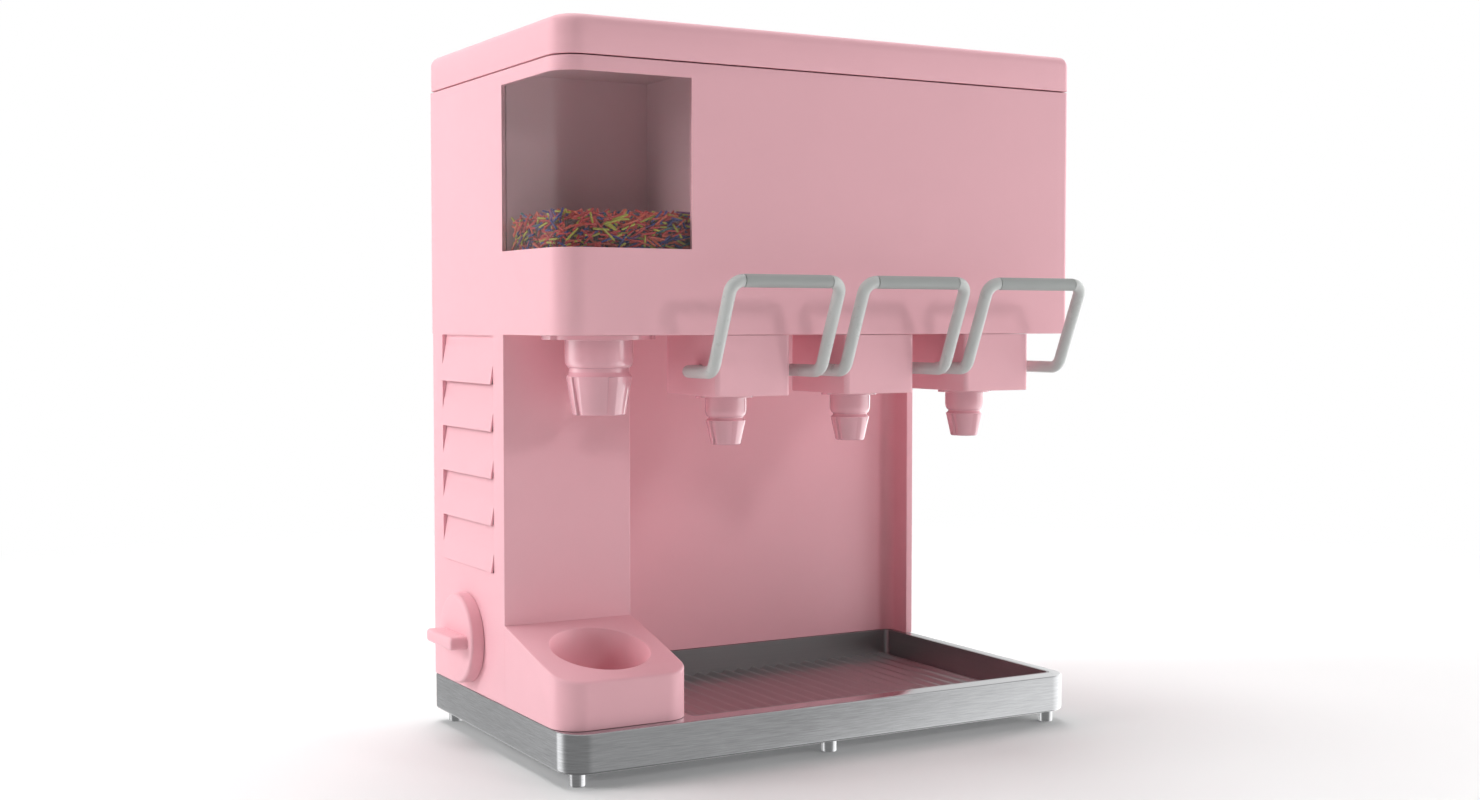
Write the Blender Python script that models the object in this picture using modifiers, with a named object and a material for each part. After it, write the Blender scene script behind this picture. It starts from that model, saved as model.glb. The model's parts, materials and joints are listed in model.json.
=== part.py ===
"""Countertop soft serve machine: three lever taps, a sprinkle dispenser and a cone holder.

Everything is modelled in cabinet coordinates, in metres: X from the cabinet's left side, Y from
the front of the head towards the back, Z from the table. One empty, machine_origin, moves the
whole machine so that its bounding box stands centred on the world origin.
"""
import math

import bmesh
import bpy
from mathutils import Vector

# ---- cabinet -----------------------------------------------------------------------------------
WIDTH = 0.450
DEPTH = 0.257
HEIGHT = 0.542
WALL = 0.003
GAP = 0.0003
BACK_INSET = 0.003
CORNER_LEFT = 0.021            # vertical front-left corner of head and lid
CORNER_RIGHT = 0.005
CORNER_REAR = 0.002

# ---- base --------------------------------------------------------------------------------------
FOOT_HEIGHT = 0.0105
FOOT_RADIUS = 0.0057
FOOT_INSET_X = 0.0145
FOOT_FRONT_Y = 0.007
FOOT_REAR_Y = 0.247
BASE_FRONT = -0.0086
BASE_TOP = 0.0396
BASE_SHEET = 0.002
BASE_CORNERS = (0.020, 0.020, 0.004, 0.004)   # front left, front right, rear right, rear left
FOOT_PAD = 0.0095              # solid metal left round a foot, on each side of its middle
TRAY_LEFT, TRAY_RIGHT = 0.1062, 0.4413
TRAY_FRONT, TRAY_REAR = 0.0059, 0.2450
TRAY_WALL = 0.0015
TRAY_FLOOR = 0.0172            # mean height of the ribbed floor
RIB_COUNT = 24
RIB_HEIGHT = 0.0015            # half the height from valley to ridge
TRAY_FALL = 0.0004             # how far the floor falls to its middle, so that drips run together

# ---- pillar, splash wall and head --------------------------------------------------------------
PILLAR_WIDTH = 0.1046
PILLAR_FRONT = 0.105
SPLASH_FRONT = 0.2457
FLANGE_LEFT = 0.4435
FLANGE_FRONT = 0.2183
COLUMN_BOTTOM = BASE_TOP + GAP
HEAD_BOTTOM = 0.3181
HEAD_TOP = 0.5128
LID_SEAM = 0.0010
LID_BOTTOM = HEAD_TOP + LID_SEAM
LID_EDGE = 0.0085
WINDOW_BOTTOM, WINDOW_TOP = 0.3798, 0.5023
WINDOW_RIGHT, WINDOW_REAR = 0.1032, 0.1056
PANE = 0.0025
WIRING_LOW, WIRING_HIGH = (0.008, 0.118), (0.096, 0.246)   # hole in the head's floor, X and Y

# ---- louvre, knob and inlet --------------------------------------------------------------------
VENT_FRONT, VENT_REAR = 0.1256, 0.2340
VENT_FRAME = 0.006             # how far the louvre's frame reaches beyond its opening
VENT_FRAME_ABOVE = 0.0025
VENT_FRAME_THICK = 0.003
VENT_LEDGE = 0.0025            # what shows of the frame inside the opening
VENT_BOTTOM, VENT_TOP = 0.1374, 0.3150
SLAT_COUNT = 5
SLAT_SHEET = 0.0016
SLAT_PROUD = 0.0025
SLAT_RECESS = 0.0066
KNOB_Y, KNOB_Z = 0.181, 0.0805
KNOB_RADIUS = 0.035
KNOB_DISC = 0.0106
KNOB_BAR = 0.0138
KNOB_BAR_LENGTH = 0.054
KNOB_BAR_WIDTH = 0.0094
KNOB_SHAFT, KNOB_HOLE = 0.004, 0.0055
INLET_X, INLET_Z = 0.055, 0.070
INLET_BODY = (0.015, 0.012)            # half width and half height
INLET_HOLE = (0.0153, 0.0123)
INLET_FLANGE = (0.019, 0.016)
INLET_RECESS = (0.0115, 0.0085)
INLET_FRONT, INLET_FLOOR, INLET_BLADE_END = 0.236, 0.244, 0.254
INLET_FLANGE_THICK = 0.002
INLET_BLADES = ((-0.007, -0.003), (0.007, -0.003), (0.0, 0.001))
BACK_SLOT_ROWS, BACK_SLOT_PITCH, BACK_SLOT_HEIGHT = 6, 0.016, 0.005
BACK_SLOTS = ((0.020, 0.180, 0.070), (0.250, 0.360, 0.150))   # left, lowest, length

# ---- cone holder and sprinkle dispenser --------------------------------------------------------
HOLDER_FRONT_TOP, HOLDER_REAR_TOP = 0.0743, 0.1003
CUP_X, CUP_Y = 0.054, 0.0527
CUP_RADIUS = 0.0372
CUP_FLOOR = 0.042
BIN_RIGHT, BIN_REAR = 0.1205, 0.106   # inner faces
BIN_SHEET = 0.002
BIN_FLOOR = 0.350
BIN_TOP = 0.503
CHUTE_RADIUS = 0.022
CHUTE_SHEET = 0.0025
FILL_TOP = 0.4047
ROTOR_Z = 0.336
ROTOR_RADIUS = 0.011
ROTOR_HALF = 0.016             # half the length of the rotor's vanes
ROTOR_SHAFT = 0.003
ROTOR_SHAFT_END = 0.118
VANE_HALF = 0.001
SPRINKLE_MOTOR_FRONT, SPRINKLE_MOTOR_REAR, SPRINKLE_MOTOR_RADIUS = 0.1105, 0.150, 0.012

# ---- nozzles: radius and distance below the top of neck, waist, collar and tip ------------------
SPRINKLE_FLANGE, SPRINKLE_FLANGE_RADIUS = 0.003, 0.039
SPRINKLE_STEPS = ((0.0252, 0.0168), (0.0221, 0.0238), (0.0242, 0.0298), (0.0198, 0.0581))
SPRINKLE_BORE = 0.0195
SPRINKLE_LUG = (0.038, 0.043)  # where a lug starts and ends, from the nozzle's axis
TAP_FLANGE, TAP_FLANGE_RADIUS = 0.0018, 0.0205
TAP_STEPS = ((0.0159, 0.0106), (0.01325, 0.0166), (0.01515, 0.0191), (0.01135, 0.0375))
TAP_LUG = (0.0200, 0.0240)

# ---- taps --------------------------------------------------------------------------------------
TAP_SIDES = ("left", "middle", "right")
TAP_FIRST_X, TAP_PITCH = 0.1548, 0.11185
BLOCK_HALF = 0.0316
BLOCK_DEPTH = 0.079
BLOCK_BOTTOM = 0.2729
TAP_Y = 0.043
TAP_BORE = 0.010
PISTON_RADIUS = 0.0096
PISTON_BOTTOM, PISTON_TOP = 0.290, 0.322
PORT_Y, PORT_RADIUS = 0.066, 0.005
PORT_Z = 0.300
PIVOT_Y, PIVOT_Z = 0.0248, 0.2914
BAR_RADIUS = 0.00465
ARM_HALF = 0.0453
ELBOW_Y = -0.0196
GRIP_Y, GRIP_Z = -0.0477, 0.3566
SLEEVE_HALF = 0.0358
SLEEVE_RADIUS = 0.0048
GRIP_CORE = 0.0036
PIVOT_REACH = 0.008            # how far the bail's ends enter the block
PIVOT_BORE = 0.00505
BEND_RADII = (0.010, 0.012, 0.009)     # beside the block, at the elbow and beside the grip

# ---- freezing and drive ------------------------------------------------------------------------
BARREL_Z = 0.376
BARREL_RADIUS, BARREL_BORE = 0.030, 0.0265
BARREL_FRONT, BARREL_REAR = 0.032, 0.205
SHAFT_RADIUS = 0.005
PADDLE_RADIUS = 0.025
PULLEY_RADIUS = 0.020
PULLEY_FRONT, PULLEY_REAR = 0.2125, 0.2235
BELT_SHEET = 0.0018
MOTOR_X = CUP_X
MOTOR_FRONT, MOTOR_SHAFT_FRONT = 0.118, 0.187
MOTOR_RADIUS = 0.026
HOPPER_LEFT, HOPPER_RIGHT = 0.1255, 0.4430
HOPPER_FRONT, HOPPER_REAR = 0.008, 0.246
HOPPER_BOTTOM, HOPPER_TOP = 0.409, 0.508
FEED_Y = 0.180
HOPPER_SHEET = 0.002
PULLEY_GAP = 0.0005            # between pulleys and belt
SPOUT_RADIUS = 0.008
BARREL_END = 0.004             # thickness of the barrels' rear wall

# ---- refrigeration -----------------------------------------------------------------------------
COMPRESSOR_X, COMPRESSOR_Y, COMPRESSOR_RADIUS = 0.068, 0.145, 0.031
COMPRESSOR_TOP, COMPRESSOR_DOME = 0.118, 0.012
CONDENSER_LOW, CONDENSER_HIGH = (0.014, 0.128, 0.140), (0.034, 0.232, 0.312)
CONDENSER_FINS, FIN_FIRST_Y, FIN_PITCH, FIN_GAP = 8, 0.134, 0.0124, 0.007
FAN_Y, FAN_Z = 0.180, 0.226
FAN_BLADES = 5
FAN_X, FAN_HALF, FAN_HUB = 0.047, 0.007, 0.012
FAN_SHAFT, FAN_SHAFT_END = 0.0024, 0.066
FAN_MOTOR_FRONT, FAN_MOTOR_REAR, FAN_MOTOR_RADIUS = 0.058, 0.084, 0.017
FAN_BLADE_HALF = (0.0008, 0.010, 0.017)
FAN_BLADE_RADIUS = 0.025       # from the fan's axis to the middle of a blade
FAN_PITCH_DEG = 30
BOARD_LOW, BOARD_HIGH = (0.0970, 0.125, 0.244), (0.0986, 0.235, 0.312)
BOARD_PARTS = ((0.140, 0.258, 0.018), (0.170, 0.262, 0.026), (0.205, 0.280, 0.016))   # Y, Z, size
BOARD_PART_FRONT = 0.0880
SWITCH_HALF, SWITCH_RIGHT = 0.020, 0.031

# ---- lid hinge ---------------------------------------------------------------------------------
HINGE_Y, HINGE_Z = 0.2609, 0.5131
HINGE_LEFT, HINGE_RIGHT = 0.060, 0.390
HINGE_KNUCKLES = 5
KNUCKLE_RADIUS, KNUCKLE_BORE, PIN_RADIUS = 0.0035, 0.0019, 0.0015
LEAF_SHEET = 0.0015
LEAF_REACH = 0.022             # from the hinge's axis to a leaf's far edge

FOOTPRINT_X = (-(KNOB_DISC + KNOB_BAR + GAP), WIDTH)
FOOTPRINT_Y = (GRIP_Y - SLEEVE_RADIUS, HINGE_Y + KNUCKLE_RADIUS)

# colour, roughness and metallic value of each finish
FINISHES = {
    "pink": ((0.90, 0.50, 0.54), 0.35, 0.0),
    "steel": ((0.55, 0.56, 0.57), 0.32, 1.0),
    "light_grey": ((0.58, 0.60, 0.59), 0.40, 0.2),
    "mid_grey": ((0.38, 0.40, 0.39), 0.45, 0.2),
    "smoked": ((0.34, 0.22, 0.23), 0.08, 0.0),
    "sugar": ((0.75, 0.25, 0.20), 0.60, 0.0),
    "white": ((0.80, 0.80, 0.78), 0.50, 0.0),
    "black": ((0.03, 0.03, 0.03), 0.55, 0.0),
    "green": ((0.05, 0.25, 0.12), 0.45, 0.0),
}

parts = None
cutters = None
origin = None


def clear_scene():
    for item in list(bpy.data.objects):
        bpy.data.objects.remove(item, do_unlink=True)


def new_collection(name):
    group = bpy.data.collections.new(name)
    bpy.context.scene.collection.children.link(group)
    return group


def new_empty(name, location, holder=None):
    empty = bpy.data.objects.new(name, None)
    empty.empty_display_size = 0.02
    empty.location = location
    empty.parent = holder
    parts.objects.link(empty)
    return empty


def new_material(name, finish):
    colour, roughness, metallic = FINISHES[finish]
    material = bpy.data.materials.new(name)
    material.use_nodes = True
    shader = material.node_tree.nodes["Principled BSDF"]
    shader.inputs["Base Color"].default_value = (*colour, 1.0)
    shader.inputs["Roughness"].default_value = roughness
    shader.inputs["Metallic"].default_value = metallic
    return material


def place(name, mesh, centre, finish=None, holder=None, turn=(0, 0, 0)):
    """Adds a mesh as a part or, without a finish, as a cutter; centre is in cabinet coordinates."""
    item = bpy.data.objects.new(name, mesh)
    item.rotation_euler = turn
    item.parent = holder or origin
    item.location = Vector(centre) - (holder.location if holder else Vector())
    if finish is None:
        cutters.objects.link(item)
        item.hide_render = True
        item.display_type = "WIRE"
    else:
        parts.objects.link(item)
        mesh.materials.append(new_material(name + "_finish", finish))
    return item


def combine(item, operation, tools):
    for tool in tools:
        modifier = item.modifiers.new(operation.lower(), "BOOLEAN")
        modifier.operation = operation
        modifier.object = tool
    return item


def cut(item, *tools):
    return combine(item, "DIFFERENCE", tools)


def join(item, *tools):
    return combine(item, "UNION", tools)


def keep_inside(item, *tools):
    return combine(item, "INTERSECT", tools)


def mesh_from(name, shape):
    mesh = bpy.data.meshes.new(name)
    shape.to_mesh(mesh)
    shape.free()
    return mesh


def smooth(mesh):
    mesh.shade_smooth()
    mesh.set_sharp_from_angle(angle=math.radians(35))


def block(name, low, high, finish=None, holder=None):
    low, high = Vector(low), Vector(high)
    shape = bmesh.new()
    bmesh.ops.create_cube(shape, size=1.0)
    bmesh.ops.scale(shape, vec=high - low, verts=shape.verts)
    return place(name, mesh_from(name, shape), (low + high) / 2, finish, holder)


def rod(name, start, end, radius, finish=None, holder=None, sides=24):
    start, end = Vector(start), Vector(end)
    shape = bmesh.new()
    bmesh.ops.create_cone(shape, cap_ends=True, segments=sides, radius1=radius, radius2=radius,
                          depth=(end - start).length)
    bmesh.ops.rotate(shape, matrix=(end - start).to_track_quat("Z", "Y").to_matrix(),
                     verts=shape.verts)
    mesh = mesh_from(name, shape)
    smooth(mesh)
    return place(name, mesh, (start + end) / 2, finish, holder)


def prism(name, outline, low, high, finish=None, holder=None, along="Z"):
    """A flat outline extruded from low to high along one axis.

    The outline's points are (X, Y) along Z, (X, Z) along Y and (Y, Z) along X.
    """
    curve = bpy.data.curves.new(name, "CURVE")
    curve.dimensions = "2D"
    curve.fill_mode = "BOTH"
    curve.extrude = (high - low) / 2
    line = curve.splines.new("POLY")
    line.points.add(len(outline) - 1)
    for point, (across, up) in zip(line.points, outline):
        point.co = (across, up, 0.0, 1.0)
    line.use_cyclic_u = True
    guide = bpy.data.objects.new(name + "_outline", curve)
    cutters.objects.link(guide)
    mesh = curve_to_mesh(name, guide)
    middle = (low + high) / 2
    quarter = math.radians(90)
    centre, turn = {"Z": ((0, 0, middle), (0, 0, 0)),
                    "Y": ((0, middle, 0), (quarter, 0, 0)),
                    "X": ((middle, 0, 0), (quarter, 0, quarter))}[along]
    return place(name, mesh, centre, finish, holder, turn)


def curve_to_mesh(name, guide):
    """The closed, welded mesh of a curve object, which is removed."""
    graph = bpy.context.evaluated_depsgraph_get()
    mesh = bpy.data.meshes.new_from_object(guide.evaluated_get(graph))
    mesh.name = name
    mesh.materials.clear()
    bpy.data.objects.remove(guide, do_unlink=True)
    shape = bmesh.new()
    shape.from_mesh(mesh)
    bmesh.ops.remove_doubles(shape, verts=shape.verts, dist=1e-6)
    bmesh.ops.recalc_face_normals(shape, faces=shape.faces)
    shape.to_mesh(mesh)
    shape.free()
    return mesh


def turned(name, profile, centre, finish=None, holder=None, along="Z", sides=24, ring=True):
    """A profile of (radius, height) points spun about an axis: down the outside, up the inside."""
    shape = bmesh.new()
    points = [shape.verts.new((radius, 0.0, height)) for radius, height in profile]
    pairs = list(zip(points, points[1:]))
    if ring:
        pairs.append((points[-1], points[0]))
    for pair in pairs:
        shape.edges.new(pair)
    quarter = math.radians(90)
    turn = {"Z": (0, 0, 0), "Y": (-quarter, 0, 0), "X": (0, quarter, 0)}[along]
    item = place(name, mesh_from(name, shape), centre, finish, holder, turn)
    spin = item.modifiers.new("spin", "SCREW")
    spin.angle = math.radians(360)
    spin.steps = sides
    spin.render_steps = sides
    spin.use_merge_vertices = True
    spin.merge_threshold = 0.00001
    spin.use_smooth_shade = True
    return item


def arc(centre_x, centre_y, radius, start_deg, end_deg, steps):
    angles = [math.radians(start_deg + (end_deg - start_deg) * i / steps) for i in range(steps + 1)]
    return [(centre_x + radius * math.cos(a), centre_y + radius * math.sin(a)) for a in angles]


def rounded_outline(left, right, front, rear, radii, steps=6):
    """A rectangle with its own radius at the front-left, front-right, rear-right and rear-left."""
    front_left, front_right, rear_right, rear_left = radii
    return (arc(left + front_left, front + front_left, front_left, 180, 270, steps)
            + arc(right - front_right, front + front_right, front_right, 270, 360, steps)
            + arc(right - rear_right, rear - rear_right, rear_right, 0, 90, steps)
            + arc(left + rear_left, rear - rear_left, rear_left, 90, 180, steps))


def tap_x(index):
    return TAP_FIRST_X + TAP_PITCH * index


# ---- base --------------------------------------------------------------------------------------
def build_base():
    outline = rounded_outline(0, WIDTH, BASE_FRONT, DEPTH, BASE_CORNERS)
    pan = prism("base_pan", outline, FOOT_HEIGHT, BASE_TOP, "steel")
    floor = FOOT_HEIGHT + BASE_SHEET
    above = BASE_TOP + 0.01
    cut(pan, block("tray_well", (TRAY_LEFT, TRAY_FRONT, floor), (TRAY_RIGHT, TRAY_REAR, above)),
        block("machinery_well", (WALL, PILLAR_FRONT, floor), (PILLAR_WIDTH - WALL, DEPTH - WALL, above)))
    corner_pad = FOOT_INSET_X + FOOT_PAD
    middle_pad = (WIDTH / 2 - FOOT_PAD, WIDTH / 2 + FOOT_PAD)
    rim_inside = (BASE_FRONT + BASE_SHEET, TRAY_FRONT - BASE_SHEET)
    for start, end in ((corner_pad, middle_pad[0]), (middle_pad[1], WIDTH - corner_pad)):
        cut(pan, block("rim_channel", (start, rim_inside[0], 0),
                       (end, rim_inside[1], BASE_TOP - BASE_SHEET)))
    top, chamfer = FOOT_HEIGHT - GAP, 0.0012
    profile = [(0, top), (FOOT_RADIUS, top), (FOOT_RADIUS, chamfer), (FOOT_RADIUS - chamfer, 0), (0, 0)]
    columns = (("left", FOOT_INSET_X), ("middle", WIDTH / 2), ("right", WIDTH - FOOT_INSET_X))
    for row, y in (("front", FOOT_FRONT_Y), ("rear", FOOT_REAR_Y)):
        for column, x in columns:
            turned(f"foot_{row}_{column}", profile, (x, y, 0), "steel", sides=14, ring=False)


def build_drip_tray():
    lift = new_empty("drip_tray_axis", (TRAY_LEFT, TRAY_FRONT, TRAY_FLOOR), origin)
    outside_low = (TRAY_LEFT + GAP, TRAY_FRONT + GAP, FOOT_HEIGHT + BASE_SHEET + GAP)
    outside_high = (TRAY_RIGHT - GAP, TRAY_REAR - GAP, BASE_TOP)
    tray = block("drip_tray", outside_low, outside_high, "steel", lift)
    left, right = outside_low[0] + TRAY_WALL, outside_high[0] - TRAY_WALL
    steps = 6                  # straight pieces in one rib's wave
    count = RIB_COUNT * steps
    wave = []
    for step in range(count + 1):
        fall = TRAY_FALL * math.sin(math.pi * step / count)
        height = TRAY_FLOOR - fall - RIB_HEIGHT * math.cos(math.tau * step / steps)
        wave.append((left + (right - left) * step / count, height))
    outline = wave + [(right, BASE_TOP + 0.01), (left, BASE_TOP + 0.01)]
    cut(tray, prism("tray_hollow", outline, outside_low[1] + TRAY_WALL, outside_high[1] - TRAY_WALL,
                    along="Y"))


# ---- cone holder -------------------------------------------------------------------------------
def holder_wedge(name, inset, bottom, finish=None):
    front, rear = inset, PILLAR_FRONT - GAP - inset
    left, right = inset, PILLAR_WIDTH - inset
    profile = [(front, bottom), (rear, bottom), (rear, HOLDER_REAR_TOP - inset),
               (front, HOLDER_FRONT_TOP - inset)]
    corner = CORNER_LEFT - inset
    wedge = prism(name, profile, left, right, finish, along="X")
    plan = rounded_outline(left, right, front, rear, (corner, corner, 0.0005, 0.0005))
    return keep_inside(wedge, prism(name + "_plan", plan, bottom - 0.01, HOLDER_REAR_TOP + 0.01))


def build_cone_holder():
    holder = holder_wedge("cone_holder", 0.0, COLUMN_BOTTOM, "pink")
    underside = holder_wedge("holder_hollow", WALL, COLUMN_BOTTOM - 0.005)
    above = HOLDER_REAR_TOP + 0.02
    cut(underside, rod("cup_wall", (CUP_X, CUP_Y, COLUMN_BOTTOM - 0.01), (CUP_X, CUP_Y, above),
                       CUP_RADIUS + BIN_SHEET, sides=24))
    cut(holder, underside, rod("cup_hole", (CUP_X, CUP_Y, CUP_FLOOR), (CUP_X, CUP_Y, above),
                               CUP_RADIUS, sides=24))


# ---- shells ------------------------------------------------------------------------------------
def build_column():
    outline = [(0, DEPTH), (0, PILLAR_FRONT), (PILLAR_WIDTH, PILLAR_FRONT), (PILLAR_WIDTH, SPLASH_FRONT),
               (FLANGE_LEFT, SPLASH_FRONT), (FLANGE_LEFT, FLANGE_FRONT), (WIDTH, FLANGE_FRONT),
               (WIDTH, DEPTH), (WIDTH - WALL, DEPTH), (WIDTH - WALL, SPLASH_FRONT + WALL),
               (PILLAR_WIDTH - WALL, SPLASH_FRONT + WALL), (PILLAR_WIDTH - WALL, PILLAR_FRONT + WALL),
               (WALL, PILLAR_FRONT + WALL), (WALL, DEPTH)]
    column = prism("column_shell", outline, COLUMN_BOTTOM, HEAD_BOTTOM - GAP, "pink")
    cut(column,
        block("vent_opening", (-0.01, VENT_FRONT, VENT_BOTTOM), (WALL + 0.01, VENT_REAR, VENT_TOP)),
        rod("knob_hole", (-0.01, KNOB_Y, KNOB_Z), (0.01, KNOB_Y, KNOB_Z), KNOB_HOLE, sides=20))


def build_vent_grille():
    inside = WALL + GAP
    frame = block("vent_grille", (inside, VENT_FRONT - VENT_FRAME, VENT_BOTTOM - VENT_FRAME),
                  (inside + VENT_FRAME_THICK, VENT_REAR + VENT_FRAME, VENT_TOP + VENT_FRAME_ABOVE), "pink")
    cut(frame, block("grille_window", (0, VENT_FRONT + VENT_LEDGE, VENT_BOTTOM + VENT_LEDGE),
                     (0.02, VENT_REAR - VENT_LEDGE, VENT_TOP - VENT_LEDGE)))
    low, high = VENT_BOTTOM + GAP, VENT_TOP - GAP
    pitch = (high - low) / SLAT_COUNT
    for number in range(SLAT_COUNT):
        bottom = low + pitch * number
        top = bottom + pitch - 0.0002
        slat = [(-SLAT_PROUD, bottom), (-SLAT_PROUD + SLAT_SHEET, bottom), (SLAT_RECESS, top),
                (SLAT_RECESS - SLAT_SHEET, top)]
        join(frame, prism(f"slat_{number}", slat, VENT_FRONT + GAP, VENT_REAR - GAP, along="Y"))


def head_outline(inset, rear):
    """The head's wall seen from above: a strip WALL thick, open at the back."""
    def side(offset):
        left, right = offset, WIDTH - offset
        big, small = CORNER_LEFT - offset, max(CORNER_RIGHT - offset, 0.001)
        return ([(left, rear)] + arc(left + big, offset + big, big, 180, 270, 8)
                + arc(right - small, offset + small, small, 270, 360, 4) + [(right, rear)])
    return side(inset) + list(reversed(side(inset + WALL)))


def build_head():
    shell = prism("head_shell", head_outline(0, DEPTH), HEAD_BOTTOM, HEAD_TOP, "pink")
    cut(shell, block("window_opening", (-0.01, -0.01, WINDOW_BOTTOM),
                     (WINDOW_RIGHT, WINDOW_REAR, WINDOW_TOP)))
    inset = WALL + GAP
    outline = rounded_outline(inset, WIDTH - inset, inset, DEPTH - BACK_INSET - GAP,
                              (CORNER_LEFT - inset, 0.002, 0.001, 0.001))
    floor = prism("head_floor", outline, HEAD_BOTTOM, HEAD_BOTTOM + WALL, "pink")
    low, high = HEAD_BOTTOM - 0.01, HEAD_BOTTOM + 0.01
    cut(floor, rod("chute_hole", (CUP_X, CUP_Y, low), (CUP_X, CUP_Y, high), CHUTE_RADIUS + WALL),
        block("wiring_hole", (*WIRING_LOW, low), (*WIRING_HIGH, high)))
    for index in range(len(TAP_SIDES)):
        x = tap_x(index)
        cut(floor, rod("piston_hole", (x, TAP_Y, low), (x, TAP_Y, high), TAP_BORE + 0.001, sides=12),
            rod("port_hole", (x, PORT_Y, low), (x, PORT_Y, high), SPOUT_RADIUS + 0.001, sides=12))


def build_window():
    def edge(offset):
        corner = CORNER_LEFT - offset
        return ([(offset, WINDOW_REAR - GAP)] + arc(CORNER_LEFT, CORNER_LEFT, corner, 180, 270, 8)
                + [(WINDOW_RIGHT - GAP, offset)])
    outline = edge(0) + list(reversed(edge(PANE)))
    prism("window_pane", outline, WINDOW_BOTTOM + GAP, WINDOW_TOP - GAP, "smoked")


def build_back_panel():
    front, rear = DEPTH - BACK_INSET, DEPTH - GAP
    panel = block("back_panel", (WALL + GAP, front, COLUMN_BOTTOM),
                  (WIDTH - WALL - GAP, rear, HEAD_TOP - GAP), "pink")
    half_x, half_z = INLET_HOLE
    cut(panel, block("inlet_opening", (INLET_X - half_x, front - 0.01, INLET_Z - half_z),
                     (INLET_X + half_x, rear + 0.01, INLET_Z + half_z)))
    for left, lowest, length in BACK_SLOTS:
        for row in range(BACK_SLOT_ROWS):
            z = lowest + BACK_SLOT_PITCH * row
            cut(panel, block("back_slot", (left, front - 0.01, z),
                             (left + length, rear + 0.01, z + BACK_SLOT_HEIGHT)))


def build_lid():
    axis = new_empty("lid_axis", (WIDTH / 2, HINGE_Y, HINGE_Z), origin)
    lid = block("lid", (0, 0, LID_BOTTOM), (WIDTH, DEPTH, HEIGHT), "pink", axis)
    shape = bmesh.new()
    shape.from_mesh(lid.data)
    rim = [edge for edge in shape.edges if all(vertex.co.z > 0 for vertex in edge.verts)]
    bmesh.ops.bevel(shape, geom=rim, offset=LID_EDGE, segments=3, affect="EDGES", profile=0.5)
    shape.to_mesh(lid.data)
    shape.free()
    radii = (CORNER_LEFT, CORNER_RIGHT, CORNER_REAR, CORNER_REAR)
    keep_inside(lid, prism("lid_plan", rounded_outline(0, WIDTH, 0, DEPTH, radii, 4), LID_BOTTOM - 0.01,
                           HEIGHT + 0.01))
    inner = (CORNER_LEFT - WALL, CORNER_RIGHT - WALL, 0.001, 0.001)
    cut(lid, prism("lid_hollow", rounded_outline(WALL, WIDTH - WALL, WALL, DEPTH - WALL, inner, 4),
                   LID_BOTTOM - 0.02, HEIGHT - LID_EDGE))
    build_lid_hinge(axis)


def build_lid_hinge(axis):
    """A continuous hinge: odd knuckles belong to the fixed leaf, even ones to the lid's leaf."""
    front = DEPTH + GAP
    rear = front + LEAF_SHEET
    clearance = KNUCKLE_RADIUS + 0.0007
    fixed = block("hinge_fixed_leaf", (HINGE_LEFT, front, HINGE_Z - LEAF_REACH),
                  (HINGE_RIGHT, rear, HINGE_Z - clearance), "steel")
    moving = block("hinge_lid_leaf", (HINGE_LEFT, front, HINGE_Z + clearance),
                   (HINGE_RIGHT, rear, HINGE_Z + LEAF_REACH), "steel", axis)
    length = (HINGE_RIGHT - HINGE_LEFT) / HINGE_KNUCKLES
    for number in range(HINGE_KNUCKLES):
        leaf, direction = (fixed, -1) if number % 2 == 0 else (moving, 1)
        start = HINGE_LEFT + length * number + GAP
        end = start + length - 2 * GAP
        low, high = sorted((HINGE_Z, HINGE_Z + direction * (clearance + 0.001)))
        join(leaf, block(f"hinge_tab_{number}", (start, front, low), (end, rear, high)),
             rod(f"hinge_knuckle_{number}", (start, HINGE_Y, HINGE_Z), (end, HINGE_Y, HINGE_Z),
                 KNUCKLE_RADIUS, sides=12))
    for leaf in (fixed, moving):
        cut(leaf, rod(leaf.name + "_bore", (HINGE_LEFT - 0.01, HINGE_Y, HINGE_Z),
                      (HINGE_RIGHT + 0.01, HINGE_Y, HINGE_Z), KNUCKLE_BORE, sides=12))
    rod("hinge_pin", (HINGE_LEFT, HINGE_Y, HINGE_Z), (HINGE_RIGHT, HINGE_Y, HINGE_Z), PIN_RADIUS,
        "steel", sides=10)


# ---- sprinkle dispenser ------------------------------------------------------------------------
def bin_plan(offset):
    inside = WALL + GAP + offset
    return rounded_outline(inside, BIN_RIGHT + BIN_SHEET - offset, inside, BIN_REAR + BIN_SHEET - offset,
                           (CORNER_LEFT - inside, 0.001, 0.001, 0.001), 4)


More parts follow.
